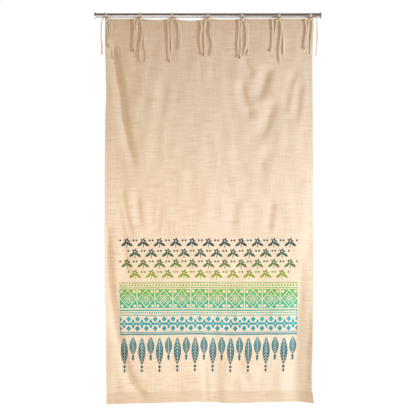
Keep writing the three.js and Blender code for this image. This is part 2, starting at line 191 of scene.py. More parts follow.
@dataclass
class Shell:
    """A closed mesh in the making, with the place of each point on its cloth.

    Points are in millimetres, and places are in metres.
    """

    points: Array
    faces: list[tuple[int, ...]]
    places: Array

    @staticmethod
    def joined(shells: "Sequence[Shell]") -> "Shell":
        """Put several shells into one, without merging their points.

        Args:
            shells: the shells to join.

        Returns:
            One shell that holds them all.
        """
        faces: list[tuple[int, ...]] = []
        start = 0
        for shell in shells:
            faces.extend(tuple(start + corner for corner in face) for face in shell.faces)
            start += len(shell.points)
        points = np.concatenate([shell.points for shell in shells])
        places = np.concatenate([shell.places for shell in shells])
        return Shell(points, faces, places)

    def to_object(self, name: str, material: bpy.types.Material, crease: float) -> bpy.types.Object:
        """Make the Blender object, smooth but for its sharp edges.

        Args:
            name: the object's name.
            material: its finish.
            crease: the angle in degrees from which an edge is sharp.

        Returns:
            The new object, at the origin.
        """
        mesh = bpy.data.meshes.new(name)
        mesh.from_pydata((self.points * MM).tolist(), [], self.faces)
        corners = np.empty(len(mesh.loops), dtype=np.int32)
        mesh.loops.foreach_get("vertex_index", corners)
        layer = mesh.uv_layers.new(name=CLOTH_MAP)
        layer.data.foreach_set("uv", self.places[corners].astype(np.float32).ravel())
        mesh.shade_smooth()
        mesh.set_sharp_from_angle(angle=math.radians(crease))
        mesh.materials.append(material)
        return linked(name, mesh)


def place_piece(piece: bpy.types.Object, slot: Slot, *nodes: str) -> None:
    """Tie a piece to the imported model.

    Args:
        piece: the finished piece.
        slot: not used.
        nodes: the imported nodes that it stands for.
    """
    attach(piece, BODY)
    if nodes:
        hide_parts(*nodes)
    log.info("%s: %d faces", piece.name, len(piece.data.polygons))


# Node helpers


class Field:
    """A number that varies over a surface, as a socket of a node tree."""

    def __init__(self, bench: "Bench", socket: bpy.types.NodeSocket) -> None:
        """Hold the socket and the bench that it is on."""
        self.bench = bench
        self.socket = socket

    def __add__(self, other: "Field | float") -> "Field":
        """Add two numbers."""
        return self.bench.math("ADD", self, other)

    def __sub__(self, other: "Field | float") -> "Field":
        """Take the other number away."""
        return self.bench.math("SUBTRACT", self, other)

    def __rsub__(self, other: float) -> "Field":
        """Take this number away from another."""
        return self.bench.math("SUBTRACT", other, self)

    def __mul__(self, other: "Field | float") -> "Field":
        """Multiply two numbers."""
        return self.bench.math("MULTIPLY", self, other)

    def __truediv__(self, other: "Field | float") -> "Field":
        """Divide by the other number."""
        return self.bench.math("DIVIDE", self, other)

    __radd__ = __add__
    __rmul__ = __mul__

    def absolute(self) -> "Field":
        """Drop the sign."""
        return self.bench.math("ABSOLUTE", self)

    def floor(self) -> "Field":
        """Round down."""
        return self.bench.math("FLOOR", self)

    def fraction(self) -> "Field":
        """Keep what is past the whole number below."""
        return self.bench.math("FRACT", self)

    def cosine(self) -> "Field":
        """Take the cosine."""
        return self.bench.math("COSINE", self)

    def sine(self) -> "Field":
        """Take the sine."""
        return self.bench.math("SINE", self)

    def lesser(self, other: "Field | float") -> "Field":
        """Keep the lesser of two numbers."""
        return self.bench.math("MINIMUM", self, other)

    def greater(self, other: "Field | float") -> "Field":
        """Keep the greater of two numbers."""
        return self.bench.math("MAXIMUM", self, other)

    def distance(self, other: "Field") -> "Field":
        """Give the length of a vector with these two parts."""
        return self.bench.math("SQRT", self * self + other * other)

    def angle(self, other: "Field") -> "Field":
        """Give the angle of a vector whose second part is this and whose first is the other."""
        return self.bench.math("ARCTAN2", self, other)

    def step(self, start: float, stop: float) -> "Field":
        """Go smoothly from 0 at start to 1 at stop."""
        return self.bench.step(self, start, stop)


class Bench:
    """Lays out the nodes of one material."""

    def __init__(self, tree: bpy.types.NodeTree) -> None:
        """Hold the tree and empty it."""
        self.tree = tree
        tree.nodes.clear()

    def node(self, kind: str, **settings: object) -> bpy.types.Node:
        """Add a node.

        Args:
            kind: the node's type.
            settings: its properties.

        Returns:
            The new node.
        """
        made = self.tree.nodes.new(kind)
        for name, value in settings.items():
            setattr(made, name, value)
        return made

    def feed(self, socket: bpy.types.NodeSocket, value: object) -> None:
        """Link a field or a socket to an input, or set the input to a constant."""
        if isinstance(value, Field):
            self.tree.links.new(value.socket, socket)
        elif isinstance(value, bpy.types.NodeSocket):
            self.tree.links.new(value, socket)
        else:
            socket.default_value = value

    def fed(self, kind: str, inputs: dict[str, object], **settings: object) -> bpy.types.Node:
        """Add a node and feed its inputs by name.

        Args:
            kind: the node's type.
            inputs: what each input gets.
            settings: the node's properties.

        Returns:
            The new node.
        """
        made = self.node(kind, **settings)
        for name, value in inputs.items():
            self.feed(made.inputs[name], value)
        return made

    def math(self, operation: str, *values: Field | float) -> Field:
        """Add a sum of one to three numbers."""
        made = self.node("ShaderNodeMath", operation=operation)
        for socket, value in zip(made.inputs, values):
            self.feed(socket, value)
        return Field(self, made.outputs[0])

    def step(self, value: Field, start: float, stop: float) -> Field:
        """Add a smooth step from 0 at start to 1 at stop."""
        bounds = {"Value": value, "From Min": start, "From Max": stop}
        made = self.fed("ShaderNodeMapRange", bounds, interpolation_type="SMOOTHSTEP")
        return Field(self, made.outputs["Result"])

    def split(self, vector: bpy.types.NodeSocket) -> tuple[Field, ...]:
        """Split a vector into its three parts."""
        parts = self.fed("ShaderNodeSeparateXYZ", {"Vector": vector})
        return tuple(Field(self, socket) for socket in parts.outputs)

    def cloth_place(self) -> tuple[Field, ...]:
        """Read the place on the cloth: across and down, in metres."""
        return self.split(self.node("ShaderNodeUVMap", uv_map=CLOTH_MAP).outputs["UV"])[:2]

    def object_place(self) -> tuple[Field, ...]:
        """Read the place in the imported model's frame, in metres."""
        return self.split(self.node("ShaderNodeTexCoord").outputs["Object"])

    def point_share(self, name: str) -> Field:
        """Read a share that the mesh holds at its points."""
        return Field(self, self.node("ShaderNodeAttribute", attribute_name=name).outputs["Fac"])

    def noise(self, place: Sequence[Field], per_metre: Sequence[float], detail: float = 2.0) -> Field:
        """Add soft noise around 0.5.

        Args:
            place: two or three parts of a place.
            per_metre: how many grains each part has to the metre.
            detail: how many finer grains are laid over it.

        Returns:
            The noise, from 0 to 1.
        """
        joined = self.node("ShaderNodeCombineXYZ")
        for socket, part, count in zip(joined.inputs, place, per_metre):
            self.feed(socket, part * count)
        inputs = {"Vector": joined.outputs[0], "Scale": 1.0, "Detail": detail}
        return Field(self, self.fed("ShaderNodeTexNoise", inputs, noise_dimensions="3D").outputs["Fac"])

    def tinted(
        self, first: object, second: object, share: Field, blend: str = "MIX"
    ) -> bpy.types.NodeSocket:
        """Mix two colours.

        Args:
            first: the colour or socket where the share is 0.
            second: the colour or socket where the share is 1.
            share: how much of the second shows.
            blend: how the second is laid over the first.

        Returns:
            The mixed colour's socket.
        """
        made = self.node("ShaderNodeMix", data_type="RGBA", blend_type=blend)
        self.feed(made.inputs["Factor"], share)
        for socket, colour in zip((made.inputs[6], made.inputs[7]), (first, second)):
            self.feed(socket, (*colour, 1.0) if isinstance(colour, tuple) else colour)
        return made.outputs[2]

    def surface(self, **inputs: object) -> None:
        """Add the surface shader and the material's output.

        Args:
            inputs: the shader's inputs, with underscores for the spaces in their names.
        """
        named = {name.replace("_", " "): value for name, value in inputs.items()}
        shader = self.fed("ShaderNodeBsdfPrincipled", named)
        self.fed("ShaderNodeOutputMaterial", {"Surface": shader.outputs["BSDF"]})

    def bump(self, height: Field) -> bpy.types.NodeSocket:
        """Add relief from a height in metres."""
        made = self.fed("ShaderNodeBump", {"Strength": 1.0, "Distance": 1.0, "Height": height})
        return made.outputs["Normal"]


def from_screen(red: int, green: int, blue: int) -> Colour:
    """Turn a screen colour of 0 to 255 into the linear colour that shaders use."""
    shares = (np.array([red, green, blue]) / 255.0 + 0.055) / 1.055
    return tuple(float(share) for share in shares**2.4)


# Finishes


@dataclass(frozen=True)
class Finish:
    """A material, whose nodes each kind of finish lays out in its own way."""

    name: str

    def lay(self, bench: Bench) -> None:
        """Lay out the nodes."""
        raise NotImplementedError

    def make(self) -> bpy.types.Material:
        """Build the material.

        Returns:
            The finished material.
        """
        material = bpy.data.materials.new(self.name)
        material.use_nodes = True
        self.lay(Bench(material.node_tree))
        return material


@dataclass(frozen=True)
class BlockPrint:
    """A border printed with hand blocks: sprigs, blocks with rosettes, knots of four and hanging leaves.

    Lengths are in metres on the cloth: across from the left edge, and down from the heading.
    """

    left: float = 0.089
    top: float = 1.415
    width: float = 1.156
    sprig_columns: int = 11
    sprig_row: float = 0.068
    sprig_rows: int = 4
    block_columns: int = 10
    small_columns: int = 20
    edge: float = 0.0009
    wobble: float = 0.0016
    inks: tuple[tuple[float, Colour], ...] = (
        (1.45, from_screen(8, 62, 74)),
        (1.56, from_screen(50, 96, 58)),
        (1.66, from_screen(132, 152, 14)),
        (1.75, from_screen(96, 170, 56)),
        (1.84, from_screen(44, 172, 130)),
        (1.95, from_screen(6, 158, 168)),
        (2.09, from_screen(0, 120, 132)),
        (2.23, from_screen(4, 78, 84)),
    )

    def inside(self, depth: Field) -> Field:
        """Turn a depth inside a shape, in metres, into an inked share with a soft edge."""
        return depth.step(-self.edge, self.edge)

    def cells(self, across: Field, count: int) -> tuple[Field, Field]:
        """Split the border's width into equal cells.

        Args:
            across: the place from the border's left end.
            count: how many cells the width holds.

        Returns:
            The number of the cell, and the place from its middle in metres.
        """
        pitch = self.width / count
        scaled = across / pitch
        return scaled.floor(), (scaled.fraction() - 0.5) * pitch

    @staticmethod
    def petals(x: Field, y: Field, count: int, inner: float, outer: float) -> Field:
        """Give the depth inside a flower.

        Args:
            x: the place across from its middle.
            y: the place down from its middle.
            count: how many petals it has.
            inner: the radius between two petals.
            outer: the radius at a petal's tip.

        Returns:
            The depth, which is above 0 inside.
        """
        turn = (y.angle(x) * float(count)).cosine()
        return turn * ((outer - inner) / 2) + (outer + inner) / 2 - x.distance(y)

    @staticmethod
    def leaf(x: Field, y: Field, half_length: float, half_width: float) -> Field:
        """Give the depth inside a pointed leaf that lies along y."""
        along = y / half_length
        return (1.0 - along * along) * half_width - x.absolute()

    @staticmethod
    def lozenge(x: Field, y: Field, half_width: float, half_height: float) -> Field:
        """Give the depth inside an upright diamond."""
        return (1.0 - x.absolute() / half_width - y.absolute() / half_height) * min(half_width, half_height)

    def sprigs(self, across: Field, down: Field) -> Field:
        """Scatter flower sprigs in half-dropped rows."""
        scaled = down / self.sprig_row
        row = scaled.floor()
        odd = (row * 0.5).fraction() * 2.0
        pitch = self.width / self.sprig_columns
        column, x = self.cells(across + odd * (pitch / 2), self.sprig_columns)
        y = (scaled.fraction() - 0.5) * self.sprig_row
        flower = self.petals(x, y + 0.010, 5, 0.0115, 0.0215)
        heart = 0.0048 - x.distance(y + 0.010)
        side = x.absolute()
        lean_x = side * 0.82 + y * 0.57 - 0.0235
        lean_y = y * 0.82 - side * 0.57 + 0.0030
        leaves = self.leaf(lean_y, lean_x, 0.0215, 0.0088)
        stem = (0.0024 - side).lesser(0.026 - (y - 0.006).absolute())
        bud = 0.0066 - (side - 0.043).distance(y + 0.0150)
        shape = flower.greater(leaves).greater(stem).greater(bud).lesser(0.0 - heart + 0.0002)
        first = column - odd * 0.5
        there = first.step(-0.45, -0.35) * (self.sprig_columns - 0.5 - first).step(0.05, 0.15)
        rows = row.step(-0.6, -0.4) * (self.sprig_rows - 0.5 - row).step(-0.1, 0.1)
        return self.inside(shape) * there * rows

    def rule(self, down: Field, middle: float, half: float) -> Field:
        """Draw a plain line across the border."""
        return self.inside(half - (down - middle).absolute())

    def beads(self, across: Field, down: Field, middle: float, radius: float, count: int) -> Field:
        """Draw a row of dots."""
        _, x = self.cells(across, count)
        return self.inside(radius - x.distance(down - middle))

    def rosette_blocks(self, across: Field, down: Field, middle: float) -> Field:
        """Print full blocks with a rosette left bare in each."""
        _, x = self.cells(across, self.block_columns)
        y = down - middle
        block = (0.0545 - x.absolute()).lesser(0.061 - y.absolute())
        frame = self.lozenge(x, y, 0.0505, 0.0565).absolute() - 0.0032
        rosette = self.petals(x, y, 8, 0.0165, 0.0300).absolute() - 0.0030
        heart = (x.distance(y) - 0.0090).absolute() - 0.0028
        spot_x = x.absolute() - 0.0405
        spot_y = y.absolute() - 0.0460
        spots = spot_x.distance(spot_y) - 0.0095
        return self.inside(block.lesser(frame).lesser(rosette).lesser(heart).lesser(spots))

    def foursomes(self, across: Field, down: Field, middle: float) -> Field:
        """Print a row of four-petalled knots between small diamonds."""
        _, x = self.cells(across, self.small_columns)
        y = down - middle
        knot = self.petals(x, y, 4, 0.0125, 0.0285).lesser(x.distance(y) - 0.0046)
        half = self.width / self.small_columns / 2
        corner_x = half - x.absolute()
        corner_y = y.absolute() - 0.030
        gems = self.lozenge(corner_x, corner_y, 0.0165, 0.0200)
        middle_gem = self.lozenge(corner_x, y, 0.0075, 0.0095)
        return self.inside(knot.greater(gems).greater(middle_gem))

    def hanging_leaves(self, across: Field, down: Field, start: float) -> Field:
        """Hang long and short veined leaves in turn, each with a bead under it."""
        number, x = self.cells(across, self.small_columns)
        odd = (number * 0.5).fraction() * 2.0
        short = 1.0 - odd * 0.34
        y = (down - start) / short
        leaf = self.leaf(x, y - 0.098, 0.092, 0.0235)
        vein = (x.absolute() - 0.0012).greater((y - 0.098).absolute() - 0.074)
        slant = (y - x.absolute() * 1.1) / 0.021
        ribs = ((slant.fraction() - 0.5).absolute() * 0.021 - 0.0013).greater(x.absolute() - 0.0165)
        bead = 0.0088 - x.distance((y - 0.2) * short)
        drop = self.lozenge(x, (y - 0.224) * short, 0.0085, 0.014)
        shape = leaf.lesser(vein).lesser(ribs).greater(bead).greater(drop)
        return self.inside(shape)

    def coverage(self, bench: Bench, across: Field, down: Field) -> Field:
        """Give the share of ink at each place.

        Args:
            bench: the bench of the cloth's material.
            across: the place across the cloth.
            down: the place down the cloth.

        Returns:
            The inked share, from 0 to 1.
        """
        drift = bench.noise((across, down), (70.0, 70.0))
        sway = bench.noise((across + 3.0, down), (70.0, 70.0))
        x = across - self.left + (drift - 0.5) * self.wobble * 2.0
        y = down - self.top + (sway - 0.5) * self.wobble * 2.0
        bands = self.sprigs(x, y)
        for part in (
            self.rule(y, 0.294, 0.0028),
            self.beads(x, y, 0.310, 0.0062, 60),
            self.rule(y, 0.326, 0.0028),
            self.rosette_blocks(x, y, 0.396),
            self.rule(y, 0.471, 0.0045),
            self.beads(x, y, 0.487, 0.0052, 80),
            self.rule(y, 0.503, 0.0028),
            self.foursomes(x, y, 0.558),
            self.rule(y, 0.614, 0.0028),
            self.rule(y, 0.626, 0.0048),
            self.hanging_leaves(x, y, 0.637),
        ):
            bands = bands.greater(part)
        sides = self.inside(x.lesser(self.width - x))
        dry = bench.noise((across, down), (34.0, 52.0), 5.0).step(0.30, 0.52)
        grain = bench.noise((across, down), (160.0, 900.0), 2.0).step(0.24, 0.52)
        return bands * sides * (0.92 + 0.08 * dry) * (0.90 + 0.10 * grain)

    def ink(self, bench: Bench, across: Field, down: Field) -> bpy.types.NodeSocket:
        """Give the ink's colour, which changes down the border.

        Args:
            bench: the bench of the cloth's material.
            across: the place across the cloth.
            down: the place down the cloth.

        Returns:
            The colour's socket.
        """
        first = self.inks[0][0]
        last = self.inks[-1][0]
        blotch = bench.noise((across, down), (9.0, 14.0), 3.0)
        place = (down - first + (blotch - 0.5) * 0.10) / (last - first)
        ramp = bench.node("ShaderNodeValToRGB")
        stops = ramp.color_ramp.elements
        while len(stops) < len(self.inks):
            stops.new(1.0)
        for stop, (at, colour) in zip(stops, self.inks):
            stop.position = (at - first) / (last - first)
            stop.color = (*colour, 1.0)
        bench.feed(ramp.inputs["Fac"], place)
        return ramp.outputs["Color"]


@dataclass(frozen=True)
class SlubCloth(Finish):
    """Matt unbleached cloth whose weft has thick places, with a printed border or without."""

    print_border: BlockPrint | None = None
    thread: Colour = (0.79, 0.645, 0.485)
    slub: Colour = (0.60, 0.445, 0.295)
    bleached: Colour = (0.86, 0.745, 0.60)
    # A deeper tone multiplied in on the hems: painted shade, for the light that doubled cloth stops from
    # coming through.
    hem_shade: Colour = (0.88, 0.83, 0.765)
    threads_per_metre: float = 900.0
    weave_height: float = 0.00012
    slub_height: float = 0.00028
    roughness: float = 0.92
    sheen: float = 0.12

    def lay(self, bench: Bench) -> None:
        """Lay out the nodes."""
        across, down = bench.cloth_place()
        long_slubs = bench.noise((across, down), (8.0, 135.0), 3.0)
        short_slubs = bench.noise((across, down), (19.0, 260.0), 3.0)
        warp = bench.noise((across, down), (140.0, 7.0), 3.0)
        cloudy = bench.noise((across, down), (3.0, 4.0), 3.0)
        dark = long_slubs.step(0.44, 0.76) * 0.46 + short_slubs.step(0.50, 0.80) * 0.34
        dark = dark + warp.step(0.48, 0.78) * 0.34
        pale = long_slubs.step(0.50, 0.24) * 0.45 + cloudy.step(0.45, 0.75) * 0.15
        pale = pale + warp.step(0.5, 0.2) * 0.40
        colour = bench.tinted(self.thread, self.slub, dark)
        colour = bench.tinted(colour, self.bleached, pale * 0.7)
        # Painted shade on the hems, darker where the cloth is doubled.
        colour = bench.tinted(colour, self.hem_shade, bench.point_share(HEM_SHADE_SHARE), "MULTIPLY")
        weave = (across * (math.tau * self.threads_per_metre / 2)).sine()
        weave = weave * (down * (math.tau * self.threads_per_metre / 2)).sine()
        height = weave * self.weave_height + (long_slubs + short_slubs) * self.slub_height
        roughness = self.roughness - 0.06 * dark
        if self.print_border:
            share = self.print_border.coverage(bench, across, down) * bench.point_share(INK_SHARE)
            share = share * (1.0 - 0.10 * short_slubs.step(0.5, 0.75))
            colour = bench.tinted(colour, self.print_border.ink(bench, across, down), share)
            roughness = roughness - 0.12 * share
        bench.surface(
            Base_Color=colour,
            Roughness=roughness,
            Normal=bench.bump(height),
            Sheen_Weight=self.sheen,
            Sheen_Roughness=0.6,
            Specular_IOR_Level=0.25,
        )


@dataclass(frozen=True)
class SewingThread(Finish):
    """Plied thread of the cloth's colour, a shade deeper."""

    name: str = "sewing_thread"
    light: Colour = (0.70, 0.555, 0.395)
    dark: Colour = (0.50, 0.375, 0.25)
    roughness: float = 0.7

    def lay(self, bench: Bench) -> None:
        """Lay out the nodes."""
        x, y, z = bench.object_place()
        ply = ((x + z) * 4200.0 + y * 2600.0).sine() * 0.5 + 0.5
        uneven = bench.noise((x, y, z), (40.0, 40.0, 40.0))
        colour = bench.tinted(self.light, self.dark, ply * 0.5 + uneven * 0.5)
        bench.surface(Base_Color=colour, Roughness=self.roughness, Normal=bench.bump(ply * 0.00005))


@dataclass(frozen=True)
class SatinNickel(Finish):
    """Drawn and plated tube: fine lines along it and faint clouding."""

    name: str = "satin_nickel"
    bright: Colour = (0.47, 0.46, 0.465)
    dull: Colour = (0.36, 0.345, 0.335)
    roughness: float = 0.20

    def lay(self, bench: Bench) -> None:
        """Lay out the nodes."""
        x, y, z = bench.object_place()
        drawn = bench.noise((x, y, z), (5.0, 2600.0, 2600.0), 2.0)
        cloud = bench.noise((x, y, z), (14.0, 30.0, 30.0), 4.0)
        colour = bench.tinted(self.bright, self.dull, drawn * 0.35 + cloud.step(0.4, 0.75) * 0.45)
        bench.surface(
            Base_Color=colour,
            Metallic=1.0,
            Roughness=self.roughness + (drawn - 0.5) * 0.12 + (cloud - 0.5) * 0.10,
            Normal=bench.bump(drawn * 0.000012),
        )


@dataclass(frozen=True)
class PaleFloor(Finish):
    """Plain pale studio floor, which glows to the eye and in the metal but doesn't light the cloth."""

    name: str = "pale_floor"
    paper: Colour = (0.95, 0.95, 0.95)
    glow: float = 0.68

    def lay(self, bench: Bench) -> None:
        """Lay out the nodes."""
        path = bench.node("ShaderNodeLightPath")
        seen = Field(bench, path.outputs["Is Camera Ray"]) + Field(bench, path.outputs["Is Glossy Ray"])
        bench.surface(
            Base_Color=(*self.paper, 1.0),
            Roughness=0.9,
            Emission_Color=(1.0, 1.0, 1.0, 1.0),
            Emission_Strength=seen * self.glow,
        )


# The cloth's shape


@dataclass(frozen=True)
class Trough:
    """A soft valley along a line across and down the cloth, which fades in and out at its ends."""

    depth: float
    reach: float
    fade: tuple[float, float]
    line: Table


FOLDS: tuple[Trough, ...] = (
    Trough(27, 30, (0.1, 0.3), ((40, 130), (66, 300), (94, 480), (134, 725), (168, 880), (215, 1040))),
    Trough(13, 24, (0.3, 0.3), ((63, 1040), (79, 1169), (112, 1363), (128, 1557), (167, 1699), (205, 1809))),
    Trough(11, 22, (0.3, 0.3), ((108, 1072), (130, 1234), (175, 1440))),
    Trough(10, 24, (0.3, 0.35), ((198, 1080), (216, 1240), (240, 1410))),
    Trough(9, 26, (0.35, 0.35), ((309, 1110), (309, 1280), (305, 1450))),
    Trough(7, 22, (0.35, 0.35), ((356, 1170), (347, 1300), (333, 1430))),
    Trough(27, 28, (0.2, 0.1), ((14, 1270), (18, 1480), (30, 1667), (61, 1944), (115, 2183), (169, 2351),
                                (270, 2470))),
    Trough(6, 30, (0.3, 0.3), ((245, 2160), (272, 2290), (340, 2358), (425, 2345), (486, 2250))),
    Trough(10, 16, (0.4, 0), ((651, 2140), (651, 2332), (651, 2500))),
    Trough(15, 42, (0.4, 0), ((704, 1980), (712, 2230), (722, 2500))),
    Trough(8, 30, (0.3, 0.3), ((868, 2160), (905, 2300), (955, 2375), (1013, 2306), (1068, 2190))),
    Trough(20, 46, (0.4, 0), ((1258, 1500), (1246, 1783), (1240, 1977), (1234, 2171), (1226, 2500))),
    Trough(12, 26, (0.3, 0.3), ((890, 240), (922, 310), (966, 385))),
    Trough(18, 30, (0.3, 0.25), ((872, 385), (893, 515), (960, 660))),
    Trough(17, 38, (0.3, 0.25), ((1078, 290), (1026, 410), (978, 548))),
    Trough(17, 38, (0.3, 0.25), ((1102, 495), (1050, 650), (1000, 800))),
    Trough(11, 26, (0.3, 0.3), ((1230, 305), (1185, 459), (1164, 630))),
    Trough(9, 26, (0.3, 0.35), ((1274, 370), (1250, 556), (1220, 715))),
    Trough(7, 38, (0.3, 0.3), ((1084, 845), (1030, 905), (976, 965))),
    Trough(5, 50, (0.35, 0.35), ((816, 850), (868, 930), (920, 1010))),
    Trough(9, 32, (0.35, 0.35), ((866, 1110), (834, 1266), (790, 1405))),
    Trough(9, 26, (0.35, 0.3), ((1084, 1140), (1065, 1298), (1036, 1410))),
    Trough(6, 34, (0.35, 0.35), ((580, 900), (550, 1080), (580, 1214), (552, 1390))),
    Trough(4, 30, (0.3, 0.3), ((390, 330), (360, 588), (335, 891), (340, 1040))),
)

FINE_CREASES: tuple[Trough, ...] = (
    Trough(2.4, 10, (0.4, 0.4), ((612, 252), (615, 340), (619, 426))),
    Trough(2.7, 10, (0.4, 0.4), ((690, 252), (694, 335), (696, 413))),
    Trough(2.4, 10, (0.4, 0.4), ((790, 963), (789, 1030), (790, 1092))),
    Trough(3.3, 9, (0.4, 0.3), ((668, 2422), (696, 2450), (727, 2468))),
)


@dataclass(frozen=True)
class ClothForm:
    """The folds in which the panel hangs.

    Lengths are in millimetres: across from the panel's left edge, and down from its heading.
    """

    left: float = -663.0
    width: float = 1342.0
    drop: float = 2488.0
    heading_drop: float = 19.0
    tie_places: tuple[float, ...] = (-652.0, -438.0, -231.0, 3.0, 223.0, 462.0, 664.0)
    bay_sags: tuple[float, ...] = (2.0, 9.0, 14.0, 7.0, 3.0, 2.0)
    sag_reach: float = 320.0
    hem_reach: float = 500.0
    curl_width: float = 85.0
    trough_steps: int = 24
    trough_lip: float = 0.4
    trough_skew: float = 1.35
    ripple_count: int = 26
    ripple_height: float = 0.33
    ripple_seed: int = 11
    ripple_widths: tuple[float, float] = (80.0, 300.0)
    ripple_drops: tuple[float, float] = (140.0, 900.0)
    ripple_start: float = 160.0
    edge_shifts: Table = (
        (0, 0, 3),
        (200, 0, -3),
        (350, 4, -3),
        (500, 6, -2),
        (620, 1, -1),
        (900, -1, 1),
        (1150, -2, -1),
        (1450, -2, 3),
        (1750, 0, 1),
        (1900, 6, -2),
        (2100, 6, -5),
        (2300, 7, -11),
        (2360, 7, -10),
        (2488, 8, 3),
    )
    hem_dips: Table = (
        (0, 5),
        (80, 3),
        (180, -1),
        (300, -3),
        (480, -8),
        (590, -13),
        (690, -6),
        (800, -2),
        (930, -5),
        (1090, -11),
        (1250, -10),
        (1342, -4),
    )
    edge_curls: Table = (
        (0, 0, 0),
        (420, 4, 5),
        (950, -7, 9),
        (1450, -9, 8),
        (1800, -2, -12),
        (2150, 4, -34),
        (2488, -3, -42),
    )
    swells: Table = (
        (250, 650, 130, 500, 9),
        (620, 1100, 170, 800, 7),
        (1010, 250, 90, 200, 7),
        (1150, 1300, 150, 700, 10),
        (330, 2250, 120, 350, 12),
        (560, 2300, 80, 420, 8),
        (940, 2150, 110, 380, 10),
        (1160, 2300, 90, 420, 8),
    )
    troughs: tuple[Trough, ...] = FOLDS + FINE_CREASES

    def heading_sag(self, across: Array) -> Array:
        """Lower the heading between neighbouring ties.

        Args:
            across: places across the panel.

        Returns:
            How far the edge hangs below its straight line.
        """
        x = self.left + across
        sag = np.zeros_like(across)
        for start, stop, low in zip(self.tie_places, self.tie_places[1:], self.bay_sags):
            share = np.clip((x - start) / (stop - start), 0.0, 1.0)
            sag = sag + low * 4.0 * share * (1.0 - share)
        return sag

    def trough_depth(self, trough: Trough, across: Array, down: Array) -> Array:
        """Give how far one trough presses the cloth back.

        Args:
            trough: the trough.
            across: places across the panel.
            down: places down the panel.

        Returns:
            The depth at each place, below 0 on the lips beside it.
        """
        line = smooth_line(np.array(trough.line, dtype=float), np.linspace(0, 1, self.trough_steps + 1))
        nearest = np.full(across.shape, np.inf)
        along = np.zeros(across.shape)
        leftward = np.zeros(across.shape, dtype=bool)
        for i in range(self.trough_steps):
            run = line[i + 1] - line[i]
            aside = across - line[i, 0]
            below = down - line[i, 1]
            share = np.clip((aside * run[0] + below * run[1]) / (run @ run), 0.0, 1.0)
            gap = np.hypot(aside - share * run[0], below - share * run[1])
            closer = gap < nearest
            nearest = np.where(closer, gap, nearest)
            along = np.where(closer, (i + share) / self.trough_steps, along)
            leftward = np.where(closer, run[0] * below > run[1] * aside, leftward)
        off = (nearest / np.where(leftward, self.trough_skew * trough.reach, trough.reach)) ** 2
        strength = np.ones(across.shape)
        for place, length in zip((along, 1.0 - along), trough.fade):
            if length:
                strength = strength * smooth_step(place, 0.0, length)
        return trough.depth * strength * np.exp(-off) * (1.0 - self.trough_lip * off)

    def ripples(self, across: Array, down: Array) -> Array:
        """Give the slight unevenness of limp cloth, as many weak waves that cross each other."""
        chance = np.random.default_rng(self.ripple_seed)
        total = np.zeros(across.shape)
        for _ in range(self.ripple_count):
            wide = math.tau / chance.uniform(*self.ripple_widths)
            tall = math.tau / chance.uniform(*self.ripple_drops) * chance.choice((-1.0, 1.0))
            total = total + np.sin(wide * across + tall * down + chance.uniform(0.0, math.tau))
        return total * self.ripple_height * smooth_step(down, 0.0, self.ripple_start)

    def back(self, across: Array, down: Array) -> Array:
        """Give how far the cloth's middle surface lies behind the rod's axis.

        Args:
            across: places across the panel.
            down: places down the panel.

        Returns:
            The depth at each place.
        """
        total = self.ripples(across, down)
        for trough in self.troughs:
            total = total + self.trough_depth(trough, across, down)
        for middle, low, wide, tall, forward in self.swells:
            total = total - forward * np.exp(-(((across - middle) / wide) ** 2) - ((down - low) / tall) ** 2)
        for column, inward in ((1, across), (2, self.width - across)):
            curl = np.maximum(0.0, 1.0 - inward / self.curl_width) ** 2
            total = total + column_at(self.edge_curls, down, column) * curl
        return total

    def points(self, across: Array, down: Array) -> Array:
        """Give the cloth's middle surface.

        Args:
            across: places across the panel.
            down: places down the panel.

        Returns:
            A point for each place, in the last axis.
        """
        left = column_at(self.edge_shifts, down, 1)
        right = column_at(self.edge_shifts, down, 2)
        sag = self.heading_sag(across) * np.exp(-down / self.sag_reach)
        dip = column_at(self.hem_dips, across, 1) * np.exp((down - self.drop) / self.hem_reach)
        x = self.left + across + mixed(left, right, across / self.width)
        z = -self.heading_drop - down - sag - dip
        return np.stack([x, self.back(across, down), z], axis=-1)

    def face_behind(self, x: Array, z: Array, half_width: float) -> Array:
        """Give the foremost depth of the cloth behind a hanging strip.

        Args:
            x: the strip's middle.
            z: the strip's height.
            half_width: how far the strip may reach to each side.

        Returns:
            The depth of the cloth's middle surface.
        """
        places = [np.clip(x - self.left + side * half_width, 0.0, self.width) for side in (-1, 0, 1)]
        depths = [self.back(place, -z - self.heading_drop) for place in places]
        return np.minimum.reduce(depths)


# The panel


